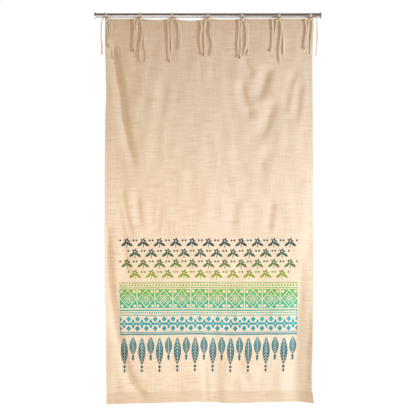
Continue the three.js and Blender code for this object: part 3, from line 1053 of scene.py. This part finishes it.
@dataclass
class CurtainPanel:
    """The hemmed and printed panel, as one closed sheet, with the stitches of its hems."""

    form: ClothForm
    cloth: bpy.types.Material
    thread: bpy.types.Material
    flat: tuple[float, float] = (1.35, 2.50)
    half_thickness: float = 0.55
    hem_layer: float = 1.1
    side_hem: float = 25.0
    heading_hem: float = 70.0
    bottom_hem: float = 75.0
    # How deep the painted shade is on the side hems, the heading and the bottom hem.
    hem_shade_strengths: tuple[float, float, float] = (0.12, 0.30, 0.70)
    hem_turn: float = 1.2
    line_gap: float = 2.4
    stitch_inset: float = 2.5
    stitch_sink: float = 0.55
    stitch_groove: float = 3.2
    columns: int = 164
    rows: int = 226
    back_ink: float = 0.14
    stitch_pitch: float = 4.6
    stitch_length: float = 3.3
    stitch_radius: float = 0.42

    def lines(self, count: int, length: float, hems: tuple[float, float]) -> Array:
        """Choose where the mesh's lines lie along one side, closer at the hems' inner edges.

        Args:
            count: how many even steps the side has.
            length: the side's length.
            hems: the depth of the hem at its start and at its end.

        Returns:
            The places of the lines, in rising order.
        """
        close = np.array([-4.5, -2.5, -1.2, 0.0, 1.2, 4.0])
        folds = np.concatenate([hems[0] + close, length - hems[1] - close])
        rims = np.array([0.0, self.hem_turn, length - self.hem_turn, length])
        even = np.linspace(0.0, length, count + 1)[1:-1]
        kept = np.concatenate([folds, rims])
        apart = np.abs(even[:, None] - kept[None, :]).min(axis=1)
        return np.sort(np.concatenate([even[apart > self.line_gap], kept]))

    def inside_hems(self, across: Array, down: Array) -> list[Array]:
        """Give how far each place lies inside the side hems, the heading and the bottom hem."""
        return [
            np.minimum(across, self.form.width - across) - self.side_hem,
            down - self.heading_hem,
            self.form.drop - down - self.bottom_hem,
        ]

    def folded(self, inside: Array) -> Array:
        """Give the share of a hem's second layer: 1 in the hem and 0 inside it."""
        return 1.0 - smooth_step(inside, -self.hem_turn, self.hem_turn)

    def painted_hem_shade(self, across: Array, down: Array) -> Array:
        """Give how much painted shade deepens the cloth's colour on the hems, for the light that doubled
        cloth stops from coming through it.
        """
        shares = [self.folded(inside) for inside in self.inside_hems(across, down)]
        return np.maximum.reduce([depth * share for depth, share in zip(self.hem_shade_strengths, shares)])

    def surfaces(self, across: Array, down: Array) -> tuple[Array, Array]:
        """Give the face and the back of the cloth on a grid of places.

        Args:
            across: the grid's places across.
            down: the grid's places down.

        Returns:
            The points of the face and of the back.
        """
        inside = np.minimum.reduce(self.inside_hems(across, down))
        sink = self.stitch_sink * np.exp(-(((inside + self.stitch_inset) / self.stitch_groove) ** 2))
        middle = self.form.points(across, down)
        along_x = np.gradient(middle, axis=1)
        along_z = -np.gradient(middle, axis=0)
        backward = unit(np.cross(along_z, along_x))
        face = middle - backward * (self.half_thickness - sink)[..., None]
        depth = self.half_thickness + self.hem_layer * self.folded(inside)
        return face, middle + backward * depth[..., None]

    def build(self) -> bpy.types.Object:
        """Make the panel's sheet.

        Returns:
            The panel.
        """
        form = self.form
        across_lines = self.lines(self.columns, form.width, (self.side_hem, self.side_hem))
        down_lines = self.lines(self.rows, form.drop, (self.heading_hem, self.bottom_hem))
        across, down = np.meshgrid(across_lines, down_lines)
        face, back = self.surfaces(across, down)
        rows, columns = across.shape
        front = np.arange(rows * columns).reshape(rows, columns)
        rear = front + rows * columns
        quads = [
            self.quads(front, (0, 0), (1, 0), (1, 1), (0, 1)),
            self.quads(rear, (0, 0), (0, 1), (1, 1), (1, 0)),
            self.rim(rear[:, 0], front[:, 0]),
            self.rim(front[:, -1], rear[:, -1]),
            self.rim(front[0], rear[0]),
            self.rim(rear[-1], front[-1]),
        ]
        points = np.concatenate([face.reshape(-1, 3), back.reshape(-1, 3)])
        places = np.stack([across, down], axis=-1).reshape(-1, 2) * MM
        faces = [tuple(quad) for quad in np.concatenate(quads).tolist()]
        shell = Shell(points, faces, np.concatenate([places, places]))
        panel = shell.to_object("curtain_cloth", self.cloth, 50.0)
        inked = np.full(len(points), self.back_ink)
        inked[: rows * columns] = 1.0
        # Painted shade on the hems, the same on the face and the back.
        hem_shade = self.painted_hem_shade(across, down).ravel()
        for name, shares in ((INK_SHARE, inked), (HEM_SHADE_SHARE, np.concatenate([hem_shade, hem_shade]))):
            layer = panel.data.attributes.new(name, "FLOAT", "POINT")
            layer.data.foreach_set("value", shares.astype(np.float32))
        place_piece(panel, Slot.CLOTH, "curtain_panel")
        return panel

    @staticmethod
    def quads(grid: Array, *corners: tuple[int, int]) -> Array:
        """List the four-sided faces of a grid of point numbers.

        Args:
            grid: the point numbers.
            corners: the row and column steps to a face's corners, in order.

        Returns:
            One face to a row.
        """
        rows, columns = grid.shape
        cells = [grid[r : rows - 1 + r, c : columns - 1 + c].ravel() for r, c in corners]
        return np.stack(cells, axis=1)

    @staticmethod
    def rim(first: Array, second: Array) -> Array:
        """List the faces that join two edges, which show the first edge on their left from outside."""
        return np.stack([first[:-1], first[1:], second[1:], second[:-1]], axis=1)

    def stitch_lines(self) -> list[Array]:
        """Give the lines on which the hems are sewn, on the cloth's face.

        Returns:
            The points of each line.
        """
        form = self.form
        side = self.side_hem - self.stitch_inset
        top = self.heading_hem - self.stitch_inset
        low = form.drop - self.bottom_hem + self.stitch_inset
        across = np.linspace(side, form.width - side, 260)
        down = np.linspace(2.0, form.drop - 2.0, 420)
        routes = [
            (np.full_like(down, side), down),
            (np.full_like(down, form.width - side), down),
            (across, np.full_like(across, top)),
            (across, np.full_like(across, low)),
        ]
        step = 0.5
        lines = []
        for aside, below in routes:
            middle = form.points(aside, below)
            along_x = form.points(aside + step, below) - form.points(aside - step, below)
            along_z = form.points(aside, below - step) - form.points(aside, below + step)
            backward = unit(np.cross(along_z, along_x))
            lines.append(middle - backward * (self.half_thickness - self.stitch_sink))
        return lines

    def stitch_tree(self) -> bpy.types.GeometryNodeTree:
        """Build the nodes that set stitches along lines.

        Returns:
            The tree, with inputs for the pitch, length and radius.
        """
        tree = bpy.data.node_groups.new("hem_stitching", "GeometryNodeTree")
        tree.interface.new_socket("Geometry", in_out="INPUT", socket_type="NodeSocketGeometry")
        for name in ("Pitch", "Length", "Radius"):
            tree.interface.new_socket(name, in_out="INPUT", socket_type="NodeSocketFloat")
        tree.interface.new_socket("Geometry", in_out="OUTPUT", socket_type="NodeSocketGeometry")
        bench = Bench(tree)
        given = bench.node("NodeGroupInput")
        curve = bench.fed("GeometryNodeMeshToCurve", {"Mesh": given.outputs["Geometry"]})
        spacing = {"Curve": curve.outputs["Curve"], "Length": given.outputs["Pitch"]}
        spots = bench.fed("GeometryNodeCurveToPoints", spacing, mode="LENGTH")
        grain = bench.fed("GeometryNodeMeshUVSphere", {"Segments": 6, "Rings": 4, "Radius": 1.0})
        thick = given.outputs["Radius"]
        half = Field(bench, given.outputs["Length"]) * 0.5
        size = bench.fed("ShaderNodeCombineXYZ", {"X": thick, "Y": thick, "Z": half})
        shaped = {"Geometry": grain.outputs["Mesh"], "Scale": size.outputs["Vector"]}
        stitch = bench.fed("GeometryNodeTransform", shaped)
        sewn = bench.fed("GeometryNodeInstanceOnPoints", {
            "Points": spots.outputs["Points"],
            "Instance": stitch.outputs["Geometry"],
            "Rotation": spots.outputs["Rotation"],
        })
        real = bench.fed("GeometryNodeRealizeInstances", {"Geometry": sewn.outputs["Instances"]})
        coloured = {"Geometry": real.outputs["Geometry"], "Material": self.thread}
        dressed = bench.fed("GeometryNodeSetMaterial", coloured)
        bench.fed("NodeGroupOutput", {"Geometry": dressed.outputs["Geometry"]})
        return tree

    def sew(self) -> bpy.types.Object:
        """Make the stitches of all four hems.

        Returns:
            The stitches, as one piece.
        """
        points: list[list[float]] = []
        edges: list[tuple[int, int]] = []
        for line in self.stitch_lines():
            start = len(points)
            points.extend((line * MM).tolist())
            edges.extend((start + i, start + i + 1) for i in range(len(line) - 1))
        mesh = bpy.data.meshes.new("hem_stitch_lines")
        mesh.from_pydata(points, edges, [])
        route = linked("hem_stitch_lines", mesh)
        tree = self.stitch_tree()
        modifier = route.modifiers.new("stitching", "NODES")
        modifier.node_group = tree
        sizes = {"Pitch": self.stitch_pitch, "Length": self.stitch_length, "Radius": self.stitch_radius}
        for item in tree.interface.items_tree:
            if item.item_type == "SOCKET" and item.in_out == "INPUT" and item.name in sizes:
                modifier[item.identifier] = sizes[item.name] * MM
        sewn = realized(route, "hem_stitches")
        sewn.data.shade_smooth()
        place_piece(sewn, Slot.CLOTH)
        return sewn


def realized(source: bpy.types.Object, name: str) -> bpy.types.Object:
    """Turn an object with Geometry Nodes into a plain mesh object, and remove the source.

    Args:
        source: the object with the modifier.
        name: the name of the result.

    Returns:
        The plain object.
    """
    graph = bpy.context.evaluated_depsgraph_get()
    mesh = bpy.data.meshes.new_from_object(source.evaluated_get(graph), depsgraph=graph)
    mesh.name = name
    source.modifiers.clear()
    bpy.data.objects.remove(source)
    return linked(name, mesh)


# The ties


@dataclass(frozen=True)
class Strand:
    """A free end of a tie: places sideways of the knot and below the rod's axis.

    A turn of 0 is edge on to the viewer, and 90 is flat. The layer counts the strips that hang behind it.
    """

    layer: float
    turn: tuple[float, float]
    line: Table
    knotted: bool = False


@dataclass(frozen=True)
class LoopLay:
    """The loop of a tie: the way down to its lowest place, and the way up from it."""

    layer: float
    turn: tuple[float, float]
    down: Table
    up: Table


@dataclass(frozen=True)
class TieLay:
    """How one tie hangs: its place on the rod, the lean of its wrap, its loop and its free ends."""

    x: float
    lean: float
    loop: LoopLay
    ends: tuple[Strand, ...]


TIE_LAYS: tuple[TieLay, ...] = (
    TieLay(
        -652, -10,
        LoopLay(2, (63, 86), ((-5, 46), (5, 100), (10, 165), (14, 208)),
                ((14, 208), (23, 165), (22, 100), (15, 50))),
        (
            Strand(0, (15, 40), ((-20, 19), (-32, 46), (-35, 94), (-36, 145), (-30, 200), (-32, 250)), True),
            Strand(0, (63, 83), ((15, 34), (30, 70), (30, 110), (30, 182), (38, 223), (43, 278))),
        ),
    ),
    TieLay(
        -438, 0,
        LoopLay(1, (63, 81), ((-22, 20), (-37, 34), (-32, 70), (-36, 125), (-40, 190), (-38, 240)),
                ((-38, 240), (-29, 190), (-24, 125), (-19, 70), (-14, 35))),
        (
            Strand(2, (68, 83), ((11, 50), (17, 94), (14, 143), (5, 190), (1, 245), (6, 284), (14, 312))),
            Strand(0, (65, 88), ((19, 42), (32, 80), (32, 140), (32, 202), (41, 245), (38, 284), (30, 312))),
        ),
    ),
    TieLay(
        -231, 2,
        LoopLay(1, (65, 86), ((-19, 22), (-27, 44), (-23, 105), (-23, 169), (-21, 233), (-14, 306)),
                ((-14, 306), (-6, 268), (1, 228), (2, 180), (-2, 128), (-5, 70))),
        (
            Strand(1, (65, 88), ((18, 21), (38, 44), (47, 70), (44, 118), (42, 169), (47, 229))),
            Strand(0, (63, 70), ((24, 30), (47, 60), (58, 110), (55, 160), (58, 216))),
        ),
    ),
    TieLay(
        3, -4,
        LoopLay(1, (63, 81), ((-26, 21), (-44, 40), (-41, 79), (-49, 130), (-49, 182), (-41, 230),
                              (-29, 268)),
                ((-29, 268), (-20, 238), (-18, 190), (-23, 126), (-22, 70), (-14, 36))),
        (
            Strand(2, (70, 88), ((16, 58), (13, 105), (21, 143), (29, 182), (24, 212), (17, 240), (16, 268))),
            Strand(0, (63, 76), ((18, 32), (31, 62), (30, 113), (36, 160), (33, 205))),
        ),
    ),
    TieLay(
        223, 1,
        LoopLay(1, (65, 83), ((-16, 24), (-23, 42), (-17, 81), (-21, 120), (-26, 168), (-26, 223),
                              (-15, 282)),
                ((-15, 282), (-5, 223), (-4, 171), (-7, 120), (-5, 70), (-6, 38))),
        (
            Strand(2, (68, 88), ((17, 48), (26, 80), (29, 130), (30, 172), (25, 205), (14, 232), (9, 262))),
            Strand(0, (63, 81), ((20, 33), (36, 64), (38, 139), (40, 204), (36, 262))),
        ),
    ),
    TieLay(
        462, 1,
        LoopLay(1, (65, 86), ((-26, 19), (-44, 30), (-43, 56), (-43, 107), (-44, 169), (-48, 210),
                              (-55, 242)),
                ((-55, 242), (-37, 197), (-28, 132), (-19, 81), (-14, 42))),
        (
            Strand(2, (70, 88), ((13, 60), (15, 105), (9, 156), (2, 207), (3, 258), (9, 311))),
            Strand(0, (63, 70), ((17, 48), (27, 100), (29, 163), (30, 210), (31, 262))),
        ),
    ),
    TieLay(
        664, 12,
        LoopLay(1, (63, 76), ((-21, 20), (-32, 36), (-24, 74), (-28, 126), (-35, 171), (-40, 222)),
                ((-40, 222), (-25, 171), (-16, 113), (-12, 68), (-9, 37))),
        (
            Strand(0, (65, 76), ((11, 36), (13, 70), (10, 132), (6, 184), (4, 255))),
            Strand(1, (30, 50), ((20, 11), (34, 12), (40, 44), (42, 84), (42, 130), (41, 175), (38, 220),
                                 (33, 262))),
        ),
    ),
)


@dataclass
class TieBow:
    """One tie: a sewn strip of cloth that wraps the rod, with a knot, a loop and two free ends."""

    name: str
    node: str
    lay: TieLay
    form: ClothForm
    cloth: bpy.types.Material
    width: float = 15.5
    thickness: float = 1.3
    cup: float = 1.1
    rod_radius: float = 14.0
    rod_gap: float = 0.35
    tab_depth: float = 2.9
    tab_low: float = 62.0
    face_gap: float = 3.5
    layer_step: float = 2.0
    knot_y: float = -13.5
    knot_z: float = -23.0
    knot_radii: tuple[float, float, float] = (10.0, 6.2, 8.6)
    knot_pinch: float = 0.5
    hang_start: float = 70.0
    end_flare: float = 1.15
    end_sway: float = 7.0
    end_waves: float = 9.0
    tip_radii: tuple[float, float, float] = (4.6, 4.4, 5.6)
    wrap_turn: tuple[float, float] = (-30.0, 195.0)
    wrap_corners: int = 15
    end_steps: int = 40
    loop_steps: int = 96
    wrap_steps: int = 56
    leg_steps: int = 20
    binding_steps: int = 32
    lump_rings: int = 12
    lump_sides: int = 20
    lump_ridge: float = 0.10
    section: tuple[float, ...] = (-1.0, -0.9, -0.5, 0.0, 0.5, 0.9, 1.0)
    lengths: list[float] = field(default_factory=list)

    @property
    def tab_y(self) -> float:
        """The depth of the sewn tab, behind the heading."""
        across = np.array([self.lay.x - self.form.left])
        return float(self.form.back(across, np.zeros(1))[0]) + self.tab_depth

    def ribbon(self, points: Array, sideways: Array | Sequence[float], widths: Array | float) -> Shell:
        """Sweep the strip's flat section along a line.

        Args:
            points: the line's points.
            sideways: the unit vector across the strip, for all points or for each.
            widths: the strip's width, for all points or for each.

        Returns:
            The closed strip.
        """
        sideways = np.broadcast_to(sideways, points.shape)
        widths = np.broadcast_to(widths, len(points))
        run = unit(np.gradient(points, axis=0))
        outward = unit(np.cross(run, sideways))
        length = np.concatenate([[0.0], np.cumsum(np.linalg.norm(np.diff(points, axis=0), axis=1))])
        self.lengths.append(float(length[-1]))
        sides = np.array(self.section)
        rounded = np.sqrt(np.clip(1.0 - np.abs(sides) ** 6, 0.12, 1.0)) * self.thickness / 2
        bowl = self.cup * (1.0 - sides**2) - self.cup / 2
        around = np.concatenate([sides, sides[::-1]])
        lift = np.concatenate([bowl + rounded, (bowl - rounded)[::-1]])
        ring = points[:, None] + sideways[:, None] * (around[None, :, None] * widths[:, None, None] / 2)
        ring = ring + outward[:, None] * lift[None, :, None]
        count = len(around)
        faces = [(b, a, far_a, far_b) for a, b, far_b, far_a in ring_faces(len(points), count)]
        end = (len(points) - 1) * count
        for j in range(len(sides) - 1):
            far = count - 1 - j
            faces.append((j, j + 1, far - 1, far))
            faces.append((end + j + 1, end + j, end + far, end + far - 1))
        places = np.empty((len(points), count, 2))
        places[..., 0] = length[:, None]
        places[..., 1] = around[None, :] * self.width / 2 + self.lay.x * 3.0
        return Shell(ring.reshape(-1, 3), faces, places.reshape(-1, 2) * MM)

    def turned(self, points: Array, angles: Array) -> Array:
        """Give the strip's sideways direction from its angle to the viewer.

        Args:
            points: the strip's line.
            angles: its angle at each point, in degrees from edge on.

        Returns:
            A unit vector for each point.
        """
        run = unit(np.gradient(points, axis=0))
        viewer = np.array([0.0, 1.0, 0.0])
        edge_on = unit(viewer - run * (run @ viewer)[:, None])
        turn = np.radians(angles)[:, None]
        return edge_on * np.cos(turn) + np.cross(run, edge_on) * np.sin(turn)

    def hung(self, flat: Array, layers: Array, angles: Array) -> Array:
        """Lay a strip's line in depth: from the knot down to just before the panel's face.

        Args:
            flat: places sideways of the tie and below the rod's axis.
            layers: how many strips hang behind it at each place.
            angles: the strip's angle at each place.

        Returns:
            The line's points.
        """
        x = self.lay.x + flat[:, 0]
        z = -flat[:, 1]
        reach = self.width / 2 * np.abs(np.cos(np.radians(angles)))
        near = self.form.face_behind(x, z, self.width / 2) - self.face_gap
        near = near - layers * self.layer_step - reach
        down = smooth_step(-z, -self.knot_z, self.hang_start)
        return np.stack([x, mixed(self.knot_y, near, down), z], axis=1)

    def pinched(self, shares: Array) -> Array:
        """Give the strip's width, which is gathered at the knot."""
        return self.width * mixed(self.knot_pinch, 1.0, smooth_step(shares, 0.0, 0.3))

    def free_end(self, strand: Strand, phase: float) -> list[Shell]:
        """Make one free end.

        Args:
            strand: how it hangs.
            phase: where its slow twist starts.

        Returns:
            The strip, and the small knot at its tip where it has one.
        """
        shares = np.linspace(0.0, 1.0, self.end_steps + 1)
        corners = np.array(((0.0, -self.knot_z), *strand.line), dtype=float)
        flat = smooth_line(corners, shares**1.25)
        sway = self.end_sway * np.sin(phase + shares * self.end_waves)
        angles = mixed(strand.turn[0], strand.turn[1], shares) + sway
        points = self.hung(flat, np.full(len(shares), strand.layer), angles)
        widths = self.pinched(shares) * mixed(1.0, self.end_flare, shares**4)
        pieces = [self.ribbon(points, self.turned(points, angles), widths)]
        if strand.knotted:
            pieces.append(self.lump(points[-1], self.tip_radii, 3.0))
        return pieces

    def loop(self) -> Shell:
        """Make the loop as one strip, down from the knot and up to it again."""
        lay = self.lay.loop
        knot = (0.0, -self.knot_z)
        corners = np.array((knot, *lay.down, *lay.up[1:], knot), dtype=float)
        shares = np.linspace(0.0, 1.0, self.loop_steps + 1)
        flat = smooth_line(corners, shares)
        lowest = shares[int(np.argmax(flat[:, 1]))]
        leg = np.tanh((lowest - shares) / 0.035)
        ends = np.minimum(shares / lowest, (1.0 - shares) / (1.0 - lowest))
        angles = mixed(lay.turn[0], lay.turn[1], ends) * leg
        points = self.hung(flat, lay.layer + 0.45 * leg, angles)
        return self.ribbon(points, self.turned(points, angles), self.pinched(ends))

    def wrap(self) -> Shell:
        """Make the strip from its sewn tab behind the heading, up over the rod and down to the knot."""
        x = self.lay.x
        radius = self.rod_radius + self.rod_gap + self.thickness / 2 + self.cup / 2
        lows = (self.tab_low, self.tab_low / 2, self.form.heading_drop + 3.0)
        corners = [(x, self.tab_y, -low) for low in lows]
        for angle in np.radians(np.linspace(*self.wrap_turn, self.wrap_corners)):
            side = x + self.lay.lean * max(0.0, math.sin(angle))
            corners.append((side, radius * math.cos(angle), radius * math.sin(angle)))
        corners.append((x, self.knot_y, self.knot_z))
        shares = np.linspace(0.0, 1.0, self.wrap_steps + 1)
        points = smooth_line(np.array(corners), shares)
        widths = self.width * mixed(1.0, self.knot_pinch, smooth_step(shares, 0.84, 1.0))
        return self.ribbon(points, (-1.0, 0.0, 0.0), widths)

    def front_leg(self) -> Shell:
        """Make the strip's other half, from the tab forward over the heading's edge to the knot."""
        x = self.lay.x
        top = self.form.heading_drop
        depth = self.tab_y
        gap = -(self.rod_radius + top) / 2
        corners = np.array([
            (x, depth + 0.6, -top - 5.0),
            (x, depth + 0.4, -top),
            (x, 0.0, gap),
            (x, self.knot_y / 2, gap - 1.0),
            (x, self.knot_y, self.knot_z),
        ])
        points = smooth_line(corners, np.linspace(0.0, 1.0, self.leg_steps + 1))
        return self.ribbon(points, (-1.0, 0.0, 0.0), self.width * self.knot_pinch)

    def lump(self, middle: Array, radii: tuple[float, float, float], twist: float) -> Shell:
        """Make a knot: a rounded lump with the slanting turns of a tightened strip.

        Args:
            middle: the knot's middle.
            radii: its half sizes.
            twist: how many turns show.

        Returns:
            The closed lump.
        """
        tilts = np.linspace(0.0, math.pi, self.lump_rings + 1)
        turns = np.linspace(0.0, math.tau, self.lump_sides, endpoint=False)
        tilt, turn = np.meshgrid(tilts, turns, indexing="ij")
        out = np.sin(tilt)
        way = np.stack([np.cos(tilt), out * np.cos(turn), out * np.sin(turn)], axis=-1)
        ridge = 1.0 + self.lump_ridge * out * np.sin(twist * tilt * 2.0 + turn)
        points = middle + way * np.array(radii) * ridge[..., None]
        places = np.stack([0.012 * turn, 0.012 * tilt + self.lay.x * 3.0 * MM], axis=-1)
        faces = ring_faces(self.lump_rings + 1, self.lump_sides)
        return Shell(points.reshape(-1, 3), faces, places.reshape(-1, 2))

    def binding(self) -> Shell:
        """Make the strip that closes the knot: a ring round the crossing of the other strips."""
        turns = np.linspace(0.0, math.tau * 1.04, self.binding_steps + 1) + 0.6
        ring = np.stack([
            self.lay.x + 1.6 * np.sin(turns * 0.5),
            self.knot_y + (self.knot_radii[1] + 1.2) * np.cos(turns),
            self.knot_z + (self.knot_radii[2] + 1.0) * np.sin(turns),
        ], axis=1)
        return self.ribbon(ring, (1.0, 0.0, 0.0), self.width * 0.56)

    def build(self) -> bpy.types.Object:
        """Make the tie.

        Returns:
            The tie, as one piece.
        """
        middle = np.array([self.lay.x, self.knot_y, self.knot_z])
        shells = [self.wrap(), self.front_leg(), self.loop(), self.binding()]
        shells.append(self.lump(middle, self.knot_radii, 2.0))
        for i, strand in enumerate(self.lay.ends):
            shells.extend(self.free_end(strand, self.lay.x * 0.02 + i * 2.0))
        tie = Shell.joined(shells).to_object(self.name, self.cloth, 60.0)
        place_piece(tie, Slot.TIE_CLOTH, self.node)
        return tie


# The rod


@dataclass
class CurtainRod:
    """The tube and its two flared end caps."""

    metal: bpy.types.Material
    span: float = 1464.0
    radius: float = 14.0
    wall: float = 1.2
    spigot: float = 24.0
    collar: float = 4.0
    collar_radius: float = 14.8
    flare: float = 12.0
    cap_edge: float = 2.0
    cap_radius: float = 24.0
    fit_gap: float = 0.3
    sides: int = 96
    flare_steps: int = 14
    soft_edge: float = 0.3
    soft_rim: float = 0.5
    soft_spigot: float = 0.8
    soft_collar: float = 0.4

    @property
    def cap_reach(self) -> float:
        """The length from the tube's end to a cap's flat face."""
        return self.collar + self.flare + self.cap_edge

    def turned(self, profile: Sequence[tuple[float, float]]) -> Shell:
        """Turn a profile about the rod's axis.

        Args:
            profile: places along the rod and radii, in order; a closed loop ends where it starts.

        Returns:
            The turned shell.
        """
        rows = np.array(profile, dtype=float)
        closed = bool(np.allclose(rows[0], rows[-1]))
        rows = rows[:-1] if closed else rows
        turn = np.linspace(0.0, math.tau, self.sides, endpoint=False)
        x = np.repeat(rows[:, :1], self.sides, axis=1)
        points = np.stack([x, rows[:, 1:] * np.cos(turn), rows[:, 1:] * np.sin(turn)], axis=-1)
        faces = ring_faces(len(rows), self.sides, closed)
        places = np.stack([x, rows[:, 1:] * turn], axis=-1)
        return Shell(points.reshape(-1, 3), faces, places.reshape(-1, 2) * MM)

    def tidy(self, piece: bpy.types.Object) -> None:
        """Merge the points at the poles and turn every face outwards."""
        mesh = bmesh.new()
        mesh.from_mesh(piece.data)
        bmesh.ops.remove_doubles(mesh, verts=mesh.verts, dist=1e-6)
        bmesh.ops.recalc_face_normals(mesh, faces=mesh.faces)
        mesh.to_mesh(piece.data)
        mesh.free()

    def build_tube(self) -> bpy.types.Object:
        """Make the tube, with its edges broken."""
        half = self.span / 2 - self.cap_reach - self.fit_gap
        bore = self.radius - self.wall
        soft = self.soft_edge
        profile = [
            (-half, bore),
            (-half, self.radius - soft),
            (-half + soft, self.radius),
            (half - soft, self.radius),
            (half, self.radius - soft),
            (half, bore),
            (-half, bore),
        ]
        tube = self.turned(profile).to_object("rod_tube", self.metal, 30.0)
        self.tidy(tube)
        place_piece(tube, Slot.ROD_METAL, "rod")
        return tube

    def build_cap(self, end: End) -> bpy.types.Object:
        """Make one end cap: a spigot in the tube, a collar and a flare to a flat round face.

        Args:
            end: the end of the rod that it closes.

        Returns:
            The cap.
        """
        spigot = self.radius - self.wall - self.fit_gap
        profile = [
            (-self.spigot, 0.0),
            (-self.spigot, spigot - self.soft_spigot),
            (-self.spigot + self.soft_spigot, spigot),
            (0.0, spigot),
            (0.0, self.collar_radius - self.soft_collar),
            (self.soft_collar, self.collar_radius),
        ]
        for i in range(self.flare_steps + 1):
            angle = math.pi / 2 * i / self.flare_steps
            rise = (self.cap_radius - self.collar_radius) * (1.0 - math.cos(angle))
            profile.append((self.collar + self.flare * math.sin(angle), self.collar_radius + rise))
        soft = self.soft_rim
        profile += [(self.cap_reach - soft, self.cap_radius), (self.cap_reach, self.cap_radius - soft)]
        profile += [(self.cap_reach, 0.0)]
        start = self.span / 2 - self.cap_reach
        placed = [(end.value * (start + along), radius) for along, radius in profile]
        cap = self.turned(placed).to_object(f"rod_cap_{end.name.lower()}", self.metal, 30.0)
        self.tidy(cap)
        place_piece(cap, Slot.ROD_METAL, f"end_cap_{end.name.lower()}")
        return cap


# The studio


@dataclass(frozen=True)
class Lamp:
    """A round soft light, in metres, watts and degrees of beam."""

    name: str
    place: tuple[float, float, float]
    aim: tuple[float, float, float]
    size: float
    power: float
    spread: float
    colour: Colour


@dataclass
class Studio:
    """Camera, lights, surroundings and floor."""

    floor_finish: bpy.types.Material
    aim: tuple[float, float, float] = (0.0013, 0.0, -1.2436)
    distance: float = 9.0
    view_width: float = 2.687
    sensor: float = 36.0
    floor_height: float = -2.56
    floor_half_width: float = 2.6
    floor_front: float = -3.0
    floor_back: float = 1.1
    sky_front: Colour = (0.66, 0.50, 0.34)
    sky_behind: Colour = (0.70, 0.68, 0.65)
    sky_high: Colour = (0.25, 0.23, 0.21)
    lamps: tuple[Lamp, ...] = (
        Lamp("key", (3.2, -1.8, -1.6), (0.1, 0.0, -1.5), 0.35, 97.0, 180.0, (0.67, 0.825, 1.0)),
        Lamp("fill", (-0.5, -2.6, -1.95), (-0.3, 0.0, -1.95), 1.4, 13.5, 100.0, (0.95, 0.88, 0.83)),
        Lamp("rear", (2.3, 2.3, -1.0), (0.0, 0.0, -1.3), 1.2, 36.0, 140.0, (1.0, 0.97, 0.92)),
    )

    def add_camera(self) -> None:
        """Look straight at the panel's face, with the photograph's frame."""
        camera = bpy.data.cameras.new("camera")
        camera.sensor_width = self.sensor
        camera.lens = self.sensor * self.distance / self.view_width
        camera.clip_end = 60.0
        seen = linked("camera", camera)
        seen.location = (self.aim[0], self.aim[1] - self.distance, self.aim[2])
        seen.rotation_euler = (math.pi / 2, 0.0, 0.0)
        bpy.context.scene.camera = seen

    def add_lights(self) -> None:
        """Light the cloth from the right, so that folds show, and softly from the front and behind."""
        for lamp in self.lamps:
            light = bpy.data.lights.new(lamp.name, "AREA")
            light.energy = lamp.power
            light.color = lamp.colour
            light.shape = "DISK"
            light.size = lamp.size
            light.spread = math.radians(lamp.spread)
            placed = linked(lamp.name, light)
            placed.location = lamp.place
            beam = Vector(lamp.aim) - Vector(lamp.place)
            placed.rotation_euler = beam.to_track_quat("-Z", "Y").to_euler()

    def add_surroundings(self) -> None:
        """Show plain white to the camera, and light the part from a room that is darker overhead."""
        world = bpy.data.worlds.new("studio")
        bpy.context.scene.world = world
        world.use_nodes = True
        bench = Bench(world.node_tree)
        _, backward, height = bench.split(bench.node("ShaderNodeTexCoord").outputs["Generated"])
        around = bench.tinted(self.sky_front, self.sky_behind, backward.step(-0.1, 0.3))
        colour = bench.tinted(around, self.sky_high, height.step(-0.05, 0.75))
        room = bench.fed("ShaderNodeBackground", {"Color": colour})
        plain = bench.fed("ShaderNodeBackground", {"Color": (1.0, 1.0, 1.0, 1.0)})
        path = bench.node("ShaderNodeLightPath")
        chosen = bench.fed("ShaderNodeMixShader", {"Fac": path.outputs["Is Camera Ray"]})
        for socket, shown in zip(list(chosen.inputs)[1:], (room, plain)):
            bench.feed(socket, shown.outputs["Background"])
        bench.fed("ShaderNodeOutputWorld", {"Surface": chosen.outputs["Shader"]})

    def add_floor(self) -> None:
        """Lay the floor under the hem."""
        wide = self.floor_half_width
        front = self.floor_front
        back = self.floor_back
        corners = [(-wide, front), (wide, front), (wide, back), (-wide, back)]
        mesh = bpy.data.meshes.new("floor")
        mesh.from_pydata([(x, y, self.floor_height) for x, y in corners], [], [(0, 1, 2, 3)])
        mesh.materials.append(self.floor_finish)
        floor = linked("floor", mesh)

    def build(self) -> None:
        """Set up the whole studio."""
        bpy.context.scene.view_settings.view_transform = "Standard"
        self.add_camera()
        self.add_lights()
        self.add_surroundings()
        self.add_floor()


def main() -> None:
    """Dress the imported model, piece by piece."""
    logging.basicConfig(level=logging.INFO, format="%(name)s: %(message)s")
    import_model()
    Studio(PaleFloor().make()).build()
    form = ClothForm()
    panel = CurtainPanel(form, SlubCloth("printed_cloth", BlockPrint()).make(), SewingThread().make())
    sheet = panel.build()
    stitches = panel.sew()
    # The ties' cloth is a shade deeper than the panel's: painted shade, so that their faces, which catch more
    # of the key light, read no brighter than the panel.
    tie_cloth = SlubCloth("tie_cloth", thread=(0.74, 0.60, 0.445)).make()
    for number, lay in enumerate(TIE_LAYS, start=1):
        bow = TieBow(f"tie_bow_{number}", f"tie_{number}", lay, form, tie_cloth)
        tie = bow.build()
        bow.width * MM
        sum(bow.lengths) * MM
    rod = CurtainRod(SatinNickel().make())
    rod.build_tube()
    for end in End:
        rod.build_cap(end)


if __name__ == "__main__":
    main()
